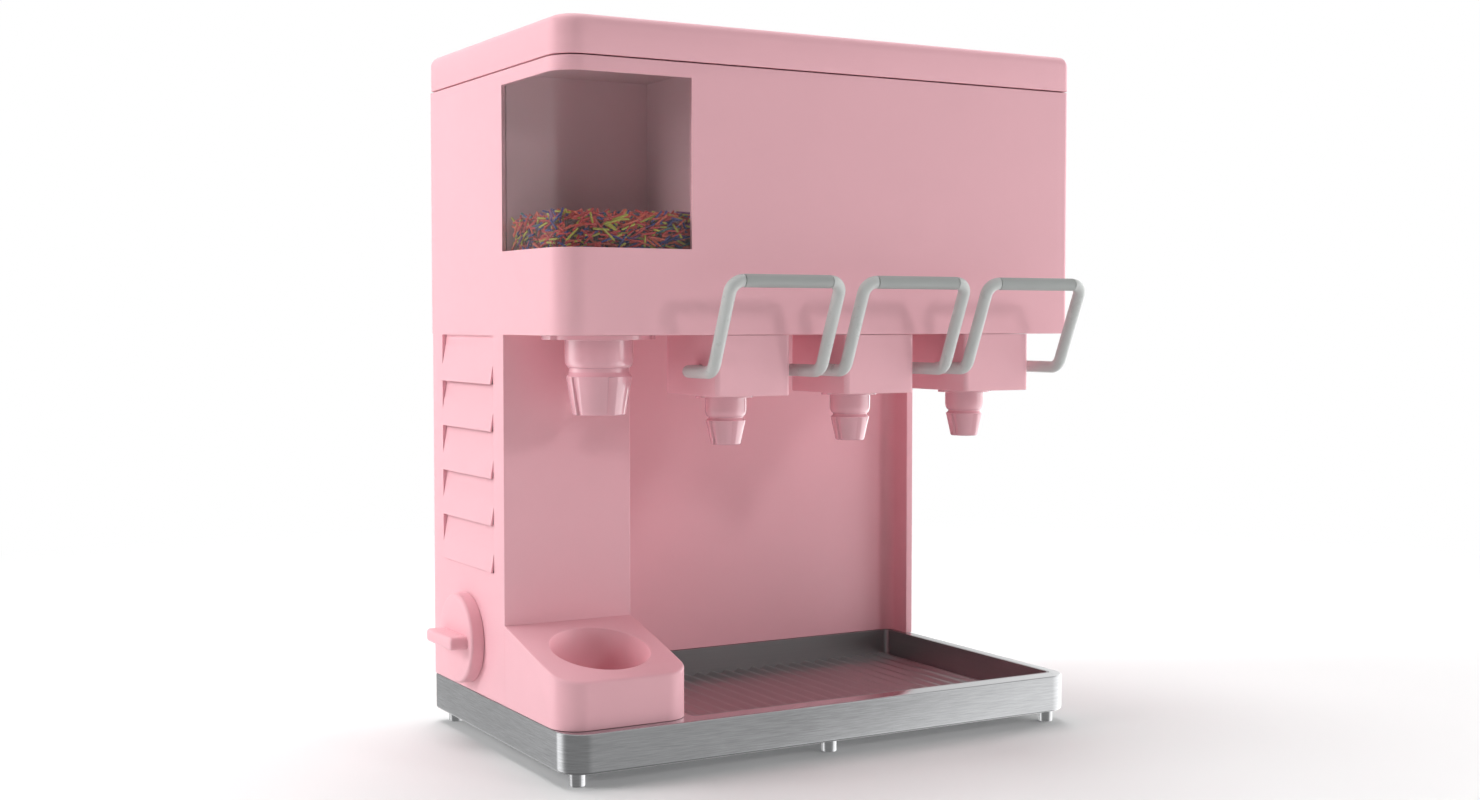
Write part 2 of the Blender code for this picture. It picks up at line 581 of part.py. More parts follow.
def build_sprinkle_dispenser():
    tub = prism("sprinkle_bin", bin_plan(0), BIN_FLOOR, BIN_TOP, "pink")
    cut(tub, prism("bin_hollow", bin_plan(BIN_SHEET), BIN_FLOOR + BIN_SHEET, BIN_TOP + 0.01),
        block("bin_window", (-0.01, -0.01, WINDOW_BOTTOM - 0.002), (BIN_RIGHT, BIN_REAR, BIN_TOP + 0.01)))
    join(tub, rod("chute", (CUP_X, CUP_Y, HEAD_BOTTOM + GAP), (CUP_X, CUP_Y, BIN_FLOOR + 0.001),
                  CHUTE_RADIUS + CHUTE_SHEET))
    cut(tub, rod("chute_bore", (CUP_X, CUP_Y, HEAD_BOTTOM - 0.01), (CUP_X, CUP_Y, BIN_FLOOR + 0.01),
                 CHUTE_RADIUS),
        rod("rotor_hole", (CUP_X, CUP_Y, ROTOR_Z), (CUP_X, 0.09, ROTOR_Z), 0.004, sides=12))
    prism("sprinkle_fill", bin_plan(BIN_SHEET + GAP), BIN_FLOOR + BIN_SHEET + GAP, FILL_TOP, "sugar")
    build_sprinkle_rotor()

    top = HEAD_BOTTOM - GAP
    profile = nozzle_profile(top, SPRINKLE_FLANGE, SPRINKLE_FLANGE_RADIUS, SPRINKLE_STEPS, SPRINKLE_BORE)
    nozzle = turned("sprinkle_nozzle", profile, (CUP_X, CUP_Y, 0), "pink", sides=20)
    add_lugs(nozzle, CUP_X, CUP_Y, top, SPRINKLE_FLANGE, SPRINKLE_LUG)


def build_sprinkle_rotor():
    """A vaned rotor across the chute, and its motor behind the bin."""
    axis = new_empty("sprinkle_rotor_axis", (CUP_X, CUP_Y, ROTOR_Z), origin)
    rotor = rod("sprinkle_rotor", (CUP_X, CUP_Y - ROTOR_HALF, ROTOR_Z), (CUP_X, ROTOR_SHAFT_END, ROTOR_Z),
                ROTOR_SHAFT, "white", axis, 12)
    for across, up in ((ROTOR_RADIUS, VANE_HALF), (VANE_HALF, ROTOR_RADIUS)):
        join(rotor, block("rotor_vane", (CUP_X - across, CUP_Y - ROTOR_HALF + 0.001, ROTOR_Z - up),
                          (CUP_X + across, CUP_Y + ROTOR_HALF, ROTOR_Z + up)))
    motor = rod("sprinkle_motor", (CUP_X, SPRINKLE_MOTOR_FRONT, ROTOR_Z),
                (CUP_X, SPRINKLE_MOTOR_REAR, ROTOR_Z), SPRINKLE_MOTOR_RADIUS, "steel", sides=20)
    cut(motor, rod("sprinkle_motor_bore", (CUP_X, SPRINKLE_MOTOR_FRONT - 0.01, ROTOR_Z),
                   (CUP_X, ROTOR_SHAFT_END + 0.002, ROTOR_Z), ROTOR_SHAFT + 0.0004, sides=12))


def nozzle_profile(top, flange, flange_radius, steps, bore):
    """The steps are (radius, distance below the top) of neck, waist, collar and tip."""
    neck, tip = steps[0], steps[-1]
    outside = [(flange_radius, top), (flange_radius, top - flange), (neck[0], top - flange)]
    outside += [(radius, top - drop) for radius, drop in steps]
    mouth = bore * 0.85
    return outside + [(mouth, top - tip[1]), (bore, top - neck[1]), (bore, top)]


def add_lugs(nozzle, x, y, top, thickness, reach):
    """Two bayonet lugs on opposite sides of a nozzle's flange."""
    start, end = reach
    width = start * 0.22       # half a lug's width
    for number, direction in enumerate((-1, 1)):
        low, high = sorted((x + direction * start * 0.9, x + direction * end))
        join(nozzle, block(f"{nozzle.name}_lug_{number}", (low, y - width, top - thickness * 0.9),
                           (high, y + width, top - thickness * 0.1)))


# ---- taps --------------------------------------------------------------------------------------
def bail_path(x):
    """Centreline of a U-shaped lever: from inside one block side, round the grip, to the other."""
    corners = [(x - BLOCK_HALF + PIVOT_REACH, PIVOT_Y, PIVOT_Z), (x - ARM_HALF, PIVOT_Y, PIVOT_Z),
               (x - ARM_HALF, ELBOW_Y, PIVOT_Z), (x - ARM_HALF, GRIP_Y, GRIP_Z)]
    corners += [(2 * x - px, py, pz) for px, py, pz in reversed(corners)]
    radii = [0, *BEND_RADII, *reversed(BEND_RADII), 0]
    before_grip = len(BEND_RADII)
    path = []
    for index, (corner, radius) in enumerate(zip(map(Vector, corners), radii)):
        if radius == 0:
            path.append((corner, 1.0))
            continue
        before = (Vector(corners[index - 1]) - corner).normalized()
        after = (Vector(corners[index + 1]) - corner).normalized()
        half_angle = before.angle(after) / 2
        centre = corner + (before + after).normalized() * radius / math.sin(half_angle)
        reach = radius / math.tan(half_angle)
        first = (corner + before * reach - centre).normalized()
        last = (corner + after * reach - centre).normalized()
        for step in range(5):
            path.append((centre + first.slerp(last, step / 4) * radius, 1.0))
        if index == before_grip:
            neck = GRIP_CORE / BAR_RADIUS
            for side in (-1, 1):
                edge = x + side * (SLEEVE_HALF + GAP)
                pair = [(Vector((edge, GRIP_Y, GRIP_Z)), 1.0),
                        (Vector((edge - side * 0.00005, GRIP_Y, GRIP_Z)), neck)]
                path += pair if side < 0 else pair[::-1]
    return path


def build_tap(index, side):
    x = tap_x(index)
    corners = (0.003, 0.003, 0.001, 0.001)
    body = rounded_outline(x - BLOCK_HALF, x + BLOCK_HALF, 0, BLOCK_DEPTH, corners, 3)
    top = HEAD_BOTTOM - GAP
    tap = prism(f"tap_block_{side}", body, BLOCK_BOTTOM, top, "pink")
    cut(tap, rod("piston_bore", (x, TAP_Y, BLOCK_BOTTOM - 0.01), (x, TAP_Y, top + 0.01), TAP_BORE, sides=16),
        rod("port_drop", (x, PORT_Y, PORT_Z), (x, PORT_Y, top + 0.01), PORT_RADIUS, sides=10),
        rod("port_cross", (x, TAP_Y, PORT_Z), (x, PORT_Y + 0.004, PORT_Z), PORT_RADIUS * 0.9,
            sides=10))
    for direction in (-1, 1):
        inner = x + direction * (BLOCK_HALF - PIVOT_REACH - 0.0004)
        outer = x + direction * (BLOCK_HALF + 0.01)
        cut(tap, rod("pivot_bore", (inner, PIVOT_Y, PIVOT_Z), (outer, PIVOT_Y, PIVOT_Z), PIVOT_BORE,
                     sides=12))

    top = BLOCK_BOTTOM - GAP
    profile = nozzle_profile(top, TAP_FLANGE, TAP_FLANGE_RADIUS, TAP_STEPS, TAP_BORE)
    nozzle = turned(f"tap_nozzle_{side}", profile, (x, TAP_Y, 0), "pink", sides=16)
    add_lugs(nozzle, x, TAP_Y, top, TAP_FLANGE, TAP_LUG)

    axis = new_empty(f"valve_{side}_axis", (x, TAP_Y, PISTON_BOTTOM), origin)
    rod(f"valve_piston_{side}", (x, TAP_Y, PISTON_BOTTOM), (x, TAP_Y, PISTON_TOP), PISTON_RADIUS,
        "white", axis, 16)
    build_handle(x, side)


def build_handle(x, side):
    axis = new_empty(f"handle_{side}_axis", (x, PIVOT_Y, PIVOT_Z), origin)
    curve = bpy.data.curves.new(f"handle_{side}", "CURVE")
    curve.dimensions = "3D"
    curve.bevel_depth = BAR_RADIUS
    curve.bevel_resolution = 2
    curve.use_fill_caps = True
    path = bail_path(x)
    line = curve.splines.new("POLY")
    line.points.add(len(path) - 1)
    for point, (spot, scale) in zip(line.points, path):
        point.co = (spot.x - x, spot.y, spot.z, 1.0)
        point.radius = scale
    guide = bpy.data.objects.new(f"handle_{side}_path", curve)
    cutters.objects.link(guide)
    mesh = curve_to_mesh(f"handle_{side}", guide)
    smooth(mesh)
    place(f"handle_{side}", mesh, (x, 0, 0), "light_grey", axis)
    bore = GRIP_CORE + 0.0004
    profile = [(SLEEVE_RADIUS, SLEEVE_HALF), (SLEEVE_RADIUS, -SLEEVE_HALF), (bore, -SLEEVE_HALF),
               (bore, SLEEVE_HALF)]
    turned(f"grip_sleeve_{side}", profile, (x, GRIP_Y, GRIP_Z), "mid_grey", axis, "X", 16)


# ---- freezing barrels and drive ----------------------------------------------------------------
def build_barrel(index, side):
    x = tap_x(index)
    inside, hole = BARREL_REAR - BARREL_END, SHAFT_RADIUS + 0.0006
    profile = [(0, BARREL_FRONT), (BARREL_RADIUS, BARREL_FRONT), (BARREL_RADIUS, BARREL_REAR),
               (hole, BARREL_REAR), (hole, inside), (BARREL_BORE, inside),
               (BARREL_BORE, BARREL_FRONT + WALL), (0, BARREL_FRONT + WALL)]
    barrel = turned(f"freezing_barrel_{side}", profile[::-1], (x, 0, BARREL_Z), "steel", None, "Y", 16, False)
    bottom = BARREL_Z - BARREL_RADIUS
    join(barrel, rod("spout", (x, PORT_Y, HEAD_BOTTOM + GAP), (x, PORT_Y, bottom + 0.003),
                     SPOUT_RADIUS, sides=12))
    cut(barrel, rod("spout_bore", (x, PORT_Y, HEAD_BOTTOM - 0.01), (x, PORT_Y, bottom + 0.007),
                    PORT_RADIUS, sides=10),
        rod("feed_hole", (x, FEED_Y, BARREL_Z + 0.02), (x, FEED_Y, BARREL_Z + 0.04), PORT_RADIUS,
            sides=10))

    axis = new_empty(f"dasher_{side}_axis", (x, BARREL_FRONT, BARREL_Z), origin)
    dasher = rod(f"dasher_{side}", (x, BARREL_FRONT + 0.005, BARREL_Z),
                 (x, PULLEY_REAR + 0.0025, BARREL_Z), SHAFT_RADIUS, "white", axis, 16)
    reach, thin = PADDLE_RADIUS, 0.0015
    for number, (across, up) in enumerate(((reach, thin), (thin, reach))):
        join(dasher, block(f"paddle_{number}", (x - across, 0.042, BARREL_Z - up),
                           (x + across, 0.196, BARREL_Z + up)))
    profile = pulley_profile(SHAFT_RADIUS + 0.0004)
    turned(f"dasher_pulley_{side}", profile, (x, 0, BARREL_Z), "black", axis, "Y", 16)


def pulley_profile(bore):
    return [(PULLEY_RADIUS, PULLEY_REAR), (PULLEY_RADIUS, PULLEY_FRONT), (bore, PULLEY_FRONT),
            (bore, PULLEY_REAR)]


def build_drive():
    motor = rod("drive_motor", (MOTOR_X, MOTOR_FRONT, BARREL_Z), (MOTOR_X, BARREL_REAR, BARREL_Z),
                MOTOR_RADIUS, "steel")
    cut(motor, rod("motor_bore", (MOTOR_X, MOTOR_SHAFT_FRONT - 0.002, BARREL_Z),
                   (MOTOR_X, BARREL_REAR + 0.01, BARREL_Z), SHAFT_RADIUS, sides=16))
    axis = new_empty("motor_pulley_axis", (MOTOR_X, BARREL_REAR, BARREL_Z), origin)
    pulley = rod("motor_pulley", (MOTOR_X, PULLEY_FRONT, BARREL_Z), (MOTOR_X, PULLEY_REAR, BARREL_Z),
                 PULLEY_RADIUS, "black", axis, 20)
    join(pulley, rod("motor_shaft", (MOTOR_X, MOTOR_SHAFT_FRONT, BARREL_Z),
                     (MOTOR_X, PULLEY_FRONT + 0.003, BARREL_Z), SHAFT_RADIUS - 0.0005, sides=16))

    def loop(radius):
        """The belt's way round the first and the last pulley, which are all in one row."""
        return arc(tap_x(2), BARREL_Z, radius, -90, 90, 8) + arc(MOTOR_X, BARREL_Z, radius, 90, 270, 8)
    low, high = PULLEY_FRONT + 0.0005, PULLEY_REAR - 0.0005
    inside = PULLEY_RADIUS + PULLEY_GAP
    belt = prism("drive_belt", loop(inside + BELT_SHEET), low, high, "black", along="Y")
    cut(belt, prism("belt_inside", loop(inside), low - 0.01, high + 0.01, along="Y"))


def build_hopper():
    """One hopper with a well, and a feed hole in its floor, for each barrel."""
    low = (HOPPER_LEFT, HOPPER_FRONT, HOPPER_BOTTOM)
    hopper = block("mix_hopper", low, (HOPPER_RIGHT, HOPPER_REAR, HOPPER_TOP), "steel")
    edges = [HOPPER_LEFT, (tap_x(0) + tap_x(1)) / 2, (tap_x(1) + tap_x(2)) / 2, HOPPER_RIGHT]
    for index, (left, right) in enumerate(zip(edges, edges[1:])):
        x = tap_x(index)
        cut(hopper,
            block("hopper_well",
                  (left + HOPPER_SHEET, HOPPER_FRONT + HOPPER_SHEET, HOPPER_BOTTOM + HOPPER_SHEET),
                  (right - HOPPER_SHEET, HOPPER_REAR - HOPPER_SHEET, HOPPER_TOP + 0.01)),
            rod("feed_bore", (x, FEED_Y, HOPPER_BOTTOM - 0.01), (x, FEED_Y, HOPPER_BOTTOM + 0.01),
                PORT_RADIUS, sides=10))


# ---- pillar machinery --------------------------------------------------------------------------
def build_compressor():
    low = FOOT_HEIGHT + BASE_SHEET + GAP
    radius, shoulder = COMPRESSOR_RADIUS, COMPRESSOR_RADIUS * 0.6
    profile = [(0, COMPRESSOR_TOP), (shoulder, COMPRESSOR_TOP), (radius, COMPRESSOR_TOP - COMPRESSOR_DOME),
               (radius, low + COMPRESSOR_DOME), (shoulder, low), (0, low)]
    turned("compressor", profile, (COMPRESSOR_X, COMPRESSOR_Y, 0), "black", sides=20, ring=False)


def build_condenser():
    """A block with gaps between its fins, open towards the louvre."""
    condenser = block("condenser", CONDENSER_LOW, CONDENSER_HIGH, "steel")
    edge = 0.006
    front = CONDENSER_LOW[0] - 0.004
    for number in range(CONDENSER_FINS):
        y = FIN_FIRST_Y + FIN_PITCH * number
        cut(condenser, block("fin_gap", (front, y, CONDENSER_LOW[2] + edge),
                             (CONDENSER_HIGH[0] - 0.004, y + FIN_GAP, CONDENSER_HIGH[2] - edge)))


def build_fan():
    motor = rod("fan_motor", (FAN_MOTOR_FRONT, FAN_Y, FAN_Z), (FAN_MOTOR_REAR, FAN_Y, FAN_Z),
                FAN_MOTOR_RADIUS, "steel", sides=20)
    half = 0.010
    join(motor, block("fan_bracket", (FAN_MOTOR_REAR - 0.004, FAN_Y - half, FAN_Z - half),
                      (PILLAR_WIDTH - WALL - GAP, FAN_Y + half, FAN_Z + half)))
    cut(motor, rod("fan_motor_bore", (FAN_MOTOR_FRONT - 0.008, FAN_Y, FAN_Z),
                   (FAN_SHAFT_END + 0.002, FAN_Y, FAN_Z), FAN_SHAFT + 0.0006, sides=12))
    axis = new_empty("fan_axis", (FAN_X, FAN_Y, FAN_Z), origin)
    rotor = rod("fan_rotor", (FAN_X - FAN_HALF, FAN_Y, FAN_Z), (FAN_X + FAN_HALF, FAN_Y, FAN_Z), FAN_HUB,
                "black", axis, 12)
    join(rotor, rod("fan_shaft", (FAN_X + 0.003, FAN_Y, FAN_Z), (FAN_SHAFT_END, FAN_Y, FAN_Z), FAN_SHAFT,
                    sides=12))
    for number in range(FAN_BLADES):
        blade = block("fan_blade", [-size for size in FAN_BLADE_HALF], FAN_BLADE_HALF)
        blade.rotation_euler = (math.tau * number / FAN_BLADES, 0, 0)
        blade.location = (FAN_X, FAN_Y, FAN_Z)
        tilt_blade(blade)
        join(rotor, blade)


def tilt_blade(blade):
    """Pitches the blade's mesh about its own length and moves it out to its radius."""
    shape = bmesh.new()
    shape.from_mesh(blade.data)
    pitch = math.radians(FAN_PITCH_DEG)
    for vertex in shape.verts:
        x, y, z = vertex.co
        vertex.co = (x * math.cos(pitch) + y * math.sin(pitch), y * math.cos(pitch) - x * math.sin(pitch),
                     z + FAN_BLADE_RADIUS)
    shape.to_mesh(blade.data)
    shape.free()


def build_control_board():
    board = block("control_board", BOARD_LOW, BOARD_HIGH, "green")
    for y, z, size in BOARD_PARTS:
        join(board, block("board_part", (BOARD_PART_FRONT, y, z),
                          (BOARD_LOW[0] + 0.0005, y + size, z + size)))


def build_rotary_switch():
    switch = block("rotary_switch", (WALL + 2 * GAP, KNOB_Y - SWITCH_HALF, KNOB_Z - SWITCH_HALF),
                   (SWITCH_RIGHT, KNOB_Y + SWITCH_HALF, KNOB_Z + SWITCH_HALF), "black")
    cut(switch, rod("switch_bore", (-0.01, KNOB_Y, KNOB_Z), (SWITCH_RIGHT - 0.003, KNOB_Y, KNOB_Z),
                    KNOB_SHAFT + 0.0005, sides=16))


def build_knob():
    axis = new_empty("knob_axis", (0, KNOB_Y, KNOB_Z), origin)
    outer = -GAP - KNOB_DISC
    knob = rod("knob", (outer, KNOB_Y, KNOB_Z), (-GAP, KNOB_Y, KNOB_Z), KNOB_RADIUS, "pink", axis, 28)
    half, thick = KNOB_BAR_LENGTH / 2, KNOB_BAR_WIDTH / 2
    plan = rounded_outline(KNOB_Y - half, KNOB_Y + half, KNOB_Z - thick, KNOB_Z + thick, (0.003,) * 4, 3)
    join(knob, prism("knob_bar", plan, outer - KNOB_BAR, outer + 0.002, along="X"),
         rod("knob_shaft", (-0.002, KNOB_Y, KNOB_Z), (SWITCH_RIGHT - 0.005, KNOB_Y, KNOB_Z), KNOB_SHAFT,
             sides=16))


def build_power_inlet():
    def around(name, half, front, rear, finish=None):
        return block(name, (INLET_X - half[0], front, INLET_Z - half[1]),
                     (INLET_X + half[0], rear, INLET_Z + half[1]), finish)
    inlet = around("power_inlet", INLET_BODY, INLET_FRONT, DEPTH + 0.001, "black")
    join(inlet, around("inlet_flange", INLET_FLANGE, DEPTH, DEPTH + INLET_FLANGE_THICK))
    cut(inlet, around("inlet_recess", INLET_RECESS, INLET_FLOOR, DEPTH + 0.01))
    for x, z in INLET_BLADES:
        middle = (INLET_X + x, INLET_Z + z)
        join(inlet, block("inlet_blade", (middle[0] - 0.001, INLET_FLOOR - 0.002, middle[1] - 0.002),
                          (middle[0] + 0.001, INLET_BLADE_END, middle[1] + 0.002)))


def build():
    global parts, cutters, origin
    clear_scene()
    parts = new_collection("soft_serve_machine")
    cutters = new_collection("cutters")
    origin = new_empty("machine_origin", (-sum(FOOTPRINT_X) / 2, -sum(FOOTPRINT_Y) / 2, 0))
    build_base()
    build_drip_tray()
    build_cone_holder()
    build_column()
    build_vent_grille()
    build_head()
    build_window()
    build_back_panel()
    build_lid()
    build_sprinkle_dispenser()
    for index, side in enumerate(TAP_SIDES):
        build_tap(index, side)
        build_barrel(index, side)
    build_drive()
    build_hopper()
    build_compressor()
    build_condenser()
    build_fan()
    build_control_board()
    build_rotary_switch()
    build_knob()
    build_power_inlet()


build()
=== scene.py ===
"""Looks of the soft serve machine: fine surfaces, materials, light, floor and camera around its frame.

Every place is worked out from the frame's own boxes and joints. Lengths are metres.
"""
import json
import math
import random

import bmesh
import bpy
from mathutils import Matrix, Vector


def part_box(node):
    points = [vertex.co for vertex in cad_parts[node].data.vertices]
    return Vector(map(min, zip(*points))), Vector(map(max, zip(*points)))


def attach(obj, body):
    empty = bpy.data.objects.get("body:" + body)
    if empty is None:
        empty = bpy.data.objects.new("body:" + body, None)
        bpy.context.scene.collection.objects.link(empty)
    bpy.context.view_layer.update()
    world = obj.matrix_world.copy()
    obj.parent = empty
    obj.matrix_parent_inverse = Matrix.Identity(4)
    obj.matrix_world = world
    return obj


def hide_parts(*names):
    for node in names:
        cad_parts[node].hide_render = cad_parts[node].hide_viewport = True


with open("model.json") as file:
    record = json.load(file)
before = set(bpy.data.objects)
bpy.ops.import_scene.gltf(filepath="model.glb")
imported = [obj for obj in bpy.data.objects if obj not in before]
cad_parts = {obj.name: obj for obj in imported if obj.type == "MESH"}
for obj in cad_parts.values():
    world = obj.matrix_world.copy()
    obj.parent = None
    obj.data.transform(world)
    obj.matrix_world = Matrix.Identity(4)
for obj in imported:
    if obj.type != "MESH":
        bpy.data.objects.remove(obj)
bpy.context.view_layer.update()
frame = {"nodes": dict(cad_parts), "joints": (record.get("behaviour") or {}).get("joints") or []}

GAP = 0.0003                   # clearance between neighbouring parts
WALL = 0.003                   # housing wall
SIDES = ("left", "middle", "right")
JOINTS = {joint["name"]: joint for joint in frame["joints"]}

LID_LOW, LID_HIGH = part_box("lid")
LEFT, FRONT = LID_LOW.x, LID_LOW.y
RIGHT, REAR = LID_HIGH.x, LID_HIGH.y
HEAD_LOW, HEAD_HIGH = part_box("head_shell")
BASE_LOW, BASE_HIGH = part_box("base_pan")

WINDOW_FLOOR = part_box("window_pane")[0].z

# rounded corners of the housing, seen from above
CORNER_LEFT = 0.021
CORNER_RIGHT = 0.005
CORNER_REAR = 0.002
CORNER_BASE = 0.020
TRAY_CORNER = 0.006
LID_EDGE = 0.0085              # fillet round the lid's top
SHARP_EDGE = 0.0006            # what is left of an edge that looks sharp
ROUND_CENTRE = Vector((LEFT + CORNER_LEFT, FRONT + CORNER_LEFT))   # of the head's front left corner


# ---- materials ----
def new_material(name):
    """A material, its node tree and its shader."""
    material = bpy.data.materials.new(name)
    material.use_nodes = True
    return material, material.node_tree, material.node_tree.nodes["Principled BSDF"]


def set_inputs(tree, node, inputs):
    """Links each input that is given a socket, and sets the others to their value."""
    for name, value in inputs.items():
        if isinstance(value, bpy.types.NodeSocket):
            tree.links.new(value, node.inputs[name])
        else:
            node.inputs[name].default_value = value


def add(tree, kind, inputs, output=0, **settings):
    """Adds a shader node and returns one of its outputs."""
    node = tree.nodes.new("ShaderNode" + kind)
    for name, value in settings.items():
        setattr(node, name, value)
    set_inputs(tree, node, inputs)
    return node.outputs[output]


def noise(tree, vector, scale, detail=3.0, roughness=0.5):
    return add(tree, "TexNoise", {"Vector": vector, "Scale": scale, "Detail": detail, "Roughness": roughness})


def spread(tree, value, low, high, start=0.3, end=0.7, easing="LINEAR"):
    """Maps start..end, by default the middle range of a noise value, to low..high."""
    limits = {"From Min": start, "From Max": end, "To Min": low, "To Max": high}
    return add(tree, "MapRange", {"Value": value, **limits}, interpolation_type=easing)


def ramp(tree, value, stops, easing="LINEAR"):
    """The colour that (position, colour) stops give this value."""
    node = tree.nodes.new("ShaderNodeValToRGB")
    node.color_ramp.interpolation = easing
    elements = node.color_ramp.elements
    for index, (position, colour) in enumerate(stops):
        stop = elements[index] if index < 2 else elements.new(position)
        stop.position = position
        stop.color = (*colour, 1)
    tree.links.new(value, node.inputs["Fac"])
    return node.outputs["Color"]


def tinted(tree, value, colour, change):
    """A colour that varies by change to either side of the given one."""
    return ramp(tree, value, [(0.3, [part * (1 - change) for part in colour]),
                              (0.7, [min(part * (1 + change), 1) for part in colour])])


def relief(tree, height, distance, strength):
    return add(tree, "Bump", {"Height": height, "Distance": distance, "Strength": strength})


def coordinates(tree, kind="Object"):
    return add(tree, "TexCoord", {}, kind)


def moulded(name, colour, roughness, grain=1400.0, depth=0.00002, strength=0.25, tint=0.02, coat=0.0,
            coat_roughness=0.15, wear=0.04, ior=1.5):
    """Plastic, rubber or paint: faint mottling, a fine grain and an uneven gloss."""
    material, tree, shader = new_material(name)
    position = coordinates(tree)
    mottle = noise(tree, position, 22.0)
    smear = noise(tree, position, 75.0, 5.0, 0.6)
    grit = noise(tree, position, grain, 2.0)
    set_inputs(tree, shader, {
        "Coat Weight": coat, "Coat Roughness": coat_roughness, "IOR": ior,
        "Base Color": tinted(tree, mottle, colour, tint),
        "Roughness": spread(tree, smear, roughness - wear, roughness + wear),
        "Normal": relief(tree, grit, depth, strength)})
    return material


def brushed(name, colour, roughness, along="X", tint=0.06, depth=0.00001, strength=0.35, fine=2600.0,
            length=14.0):
    """Metal with a brushed grain: level streaks on upright faces, streaks along an axis on level ones."""
    material, tree, shader = new_material(name)
    position = coordinates(tree)

    def streaks(scale):
        return noise(tree, add(tree, "Mapping", {"Vector": position, "Scale": scale}), 1.0, 4.0, 0.65)

    upright = streaks((length, length, fine))
    level = streaks((length, fine, length) if along == "X" else (fine, length, length))
    facing_up = add(tree, "SeparateXYZ", {"Vector": coordinates(tree, "Normal")}, "Z")
    flatness = add(tree, "Math", {0: facing_up}, operation="ABSOLUTE")
    streak = add(tree, "Mix", {"Factor": flatness, "A": upright, "B": level}, "Result")
    smear = noise(tree, position, 30.0, 4.0, 0.6)
    gloss = add(tree, "Math", {0: spread(tree, streak, -0.03, 0.03),
                               1: spread(tree, smear, roughness - 0.02, roughness + 0.03)}, operation="ADD")
    set_inputs(tree, shader, {"Metallic": 1.0, "Roughness": gloss,
                              "Base Color": tinted(tree, streak, colour, tint),
                              "Normal": relief(tree, streak, depth, strength)})
    return material


def smoked_acrylic(cover, colour):
    """Clear sheet with a tint: light passes it, and it mirrors a little."""
    material, tree, shader = new_material("smoked_acrylic")
    position = coordinates(tree)
    haze = noise(tree, position, 18.0)
    wipe = noise(tree, position, 120.0, 4.0, 0.6)
    set_inputs(tree, shader, {"Alpha": cover, "IOR": 1.49, "Base Color": tinted(tree, haze, colour, 0.06),
                              "Roughness": spread(tree, wipe, 0.16, 0.19)})
    return material


def sugar_rods():
    """Coloured sprinkles: each rod takes its colour from its own number, stored on its faces."""
    material, tree, shader = new_material("sugar_rods")
    number = add(tree, "Attribute", {}, "Fac", attribute_name="rod_number")
    dust = noise(tree, coordinates(tree), 900.0)
    frosted = add(tree, "Mix", {"Factor": spread(tree, dust, 0.0, 0.12), "B": (0.85, 0.78, 0.75, 1),
                                "A": ramp(tree, number, ROD_COLOURS, "CONSTANT")}, "Result", data_type="RGBA")
    set_inputs(tree, shader, {"Base Color": frosted, "Roughness": spread(tree, dust, 0.35, 0.55),
                              "Normal": relief(tree, dust, 0.00005, 0.3)})
    return material


# colours of the sprinkles: the rod number from which each holds, and the colour. The last, near-black one is
# no sprinkle's: it is painted shade for the heap's middle
ROD_COLOURS = ((0.0, (0.70, 0.035, 0.03)), (0.36, (0.86, 0.13, 0.06)), (0.56, (0.62, 0.60, 0.05)),
               (0.74, (0.025, 0.035, 0.26)), (0.90, (0.20, 0.03, 0.20)), (0.94, (0.02, 0.16, 0.18)),
               (0.98, (0.07, 0.02, 0.025)))
ROD_NUMBERS = 0.97             # highest rod number that a rod draws
CORE_SHADE_NUMBER = 0.99             # rod number that gives the heap's middle its near-black colour: painted shade between the rods

PINK = moulded("pink_plastic", (0.92, 0.50, 0.56), 0.42, grain=900.0, depth=0.00001, strength=0.15,
               coat=0.15, coat_roughness=0.32, tint=0.008, wear=0.03)
# Darker than the housing's pink: painted shade, as the nozzles hang in the head's shadow. Glossier as well.
SHADED_NOZZLE_PINK = moulded("polished_pink_painted_shade", (0.82, 0.43, 0.49), 0.20, grain=900.0, depth=0.00001, strength=0.1,
                      coat=1.0, coat_roughness=0.08, tint=0.008, wear=0.02, ior=1.85)
# A darker, greyer copy of the housing's pink: painted shade for the tub seen behind the smoked pane.
SHADED_BIN_PINK = moulded("bin_pink_painted_shade", (0.80, 0.51, 0.55), 0.50, grain=900.0, depth=0.00001, strength=0.15)
STEEL = brushed("brushed_steel", (0.52, 0.525, 0.535), 0.17, tint=0.13, strength=0.3, fine=1700.0,
                length=55.0)
# Darker than the base's steel and faintly mauve: painted shade of the tray under the head, with a painted
# tint of the pink it mirrors.
SHADED_TRAY_STEEL = brushed("tray_steel_painted_shade", (0.40, 0.385, 0.39), 0.33, along="Y", tint=0.06, strength=0.1)
HOPPER_STEEL = brushed("hopper_steel", (0.62, 0.62, 0.63), 0.26, along="Y")
HINGE_STEEL = brushed("hinge_steel", (0.55, 0.56, 0.57), 0.30)
MOTOR_STEEL = brushed("motor_steel", (0.45, 0.46, 0.47), 0.36, along="Y")
FINS = brushed("fin_aluminium", (0.66, 0.67, 0.68), 0.34, along="Y")
LEVER_GREY = moulded("lever_grey", (0.60, 0.625, 0.61), 0.30, grain=1100.0, tint=0.02, coat=0.2)
GRIP_GREY = moulded("grip_grey", (0.40, 0.42, 0.41), 0.42, grain=1600.0, strength=0.5, tint=0.03)
ACRYLIC = smoked_acrylic(0.27, (0.10, 0.085, 0.087))
SUGAR = sugar_rods()
WHITE = moulded("white_acetal", (0.78, 0.77, 0.74), 0.42, tint=0.02)
BLACK = moulded("black_plastic", (0.022, 0.022, 0.024), 0.48, grain=1800.0, strength=0.6, tint=0.15)
ENAMEL = moulded("black_enamel", (0.016, 0.016, 0.018), 0.28, grain=500.0, tint=0.15, coat=0.3)
RUBBER = moulded("belt_rubber", (0.028, 0.027, 0.026), 0.72, grain=2200.0, depth=0.00004, strength=0.8,
                 tint=0.2)
BOARD = moulded("board_green", (0.02, 0.16, 0.07), 0.40, grain=2600.0, tint=0.25, coat=0.3)


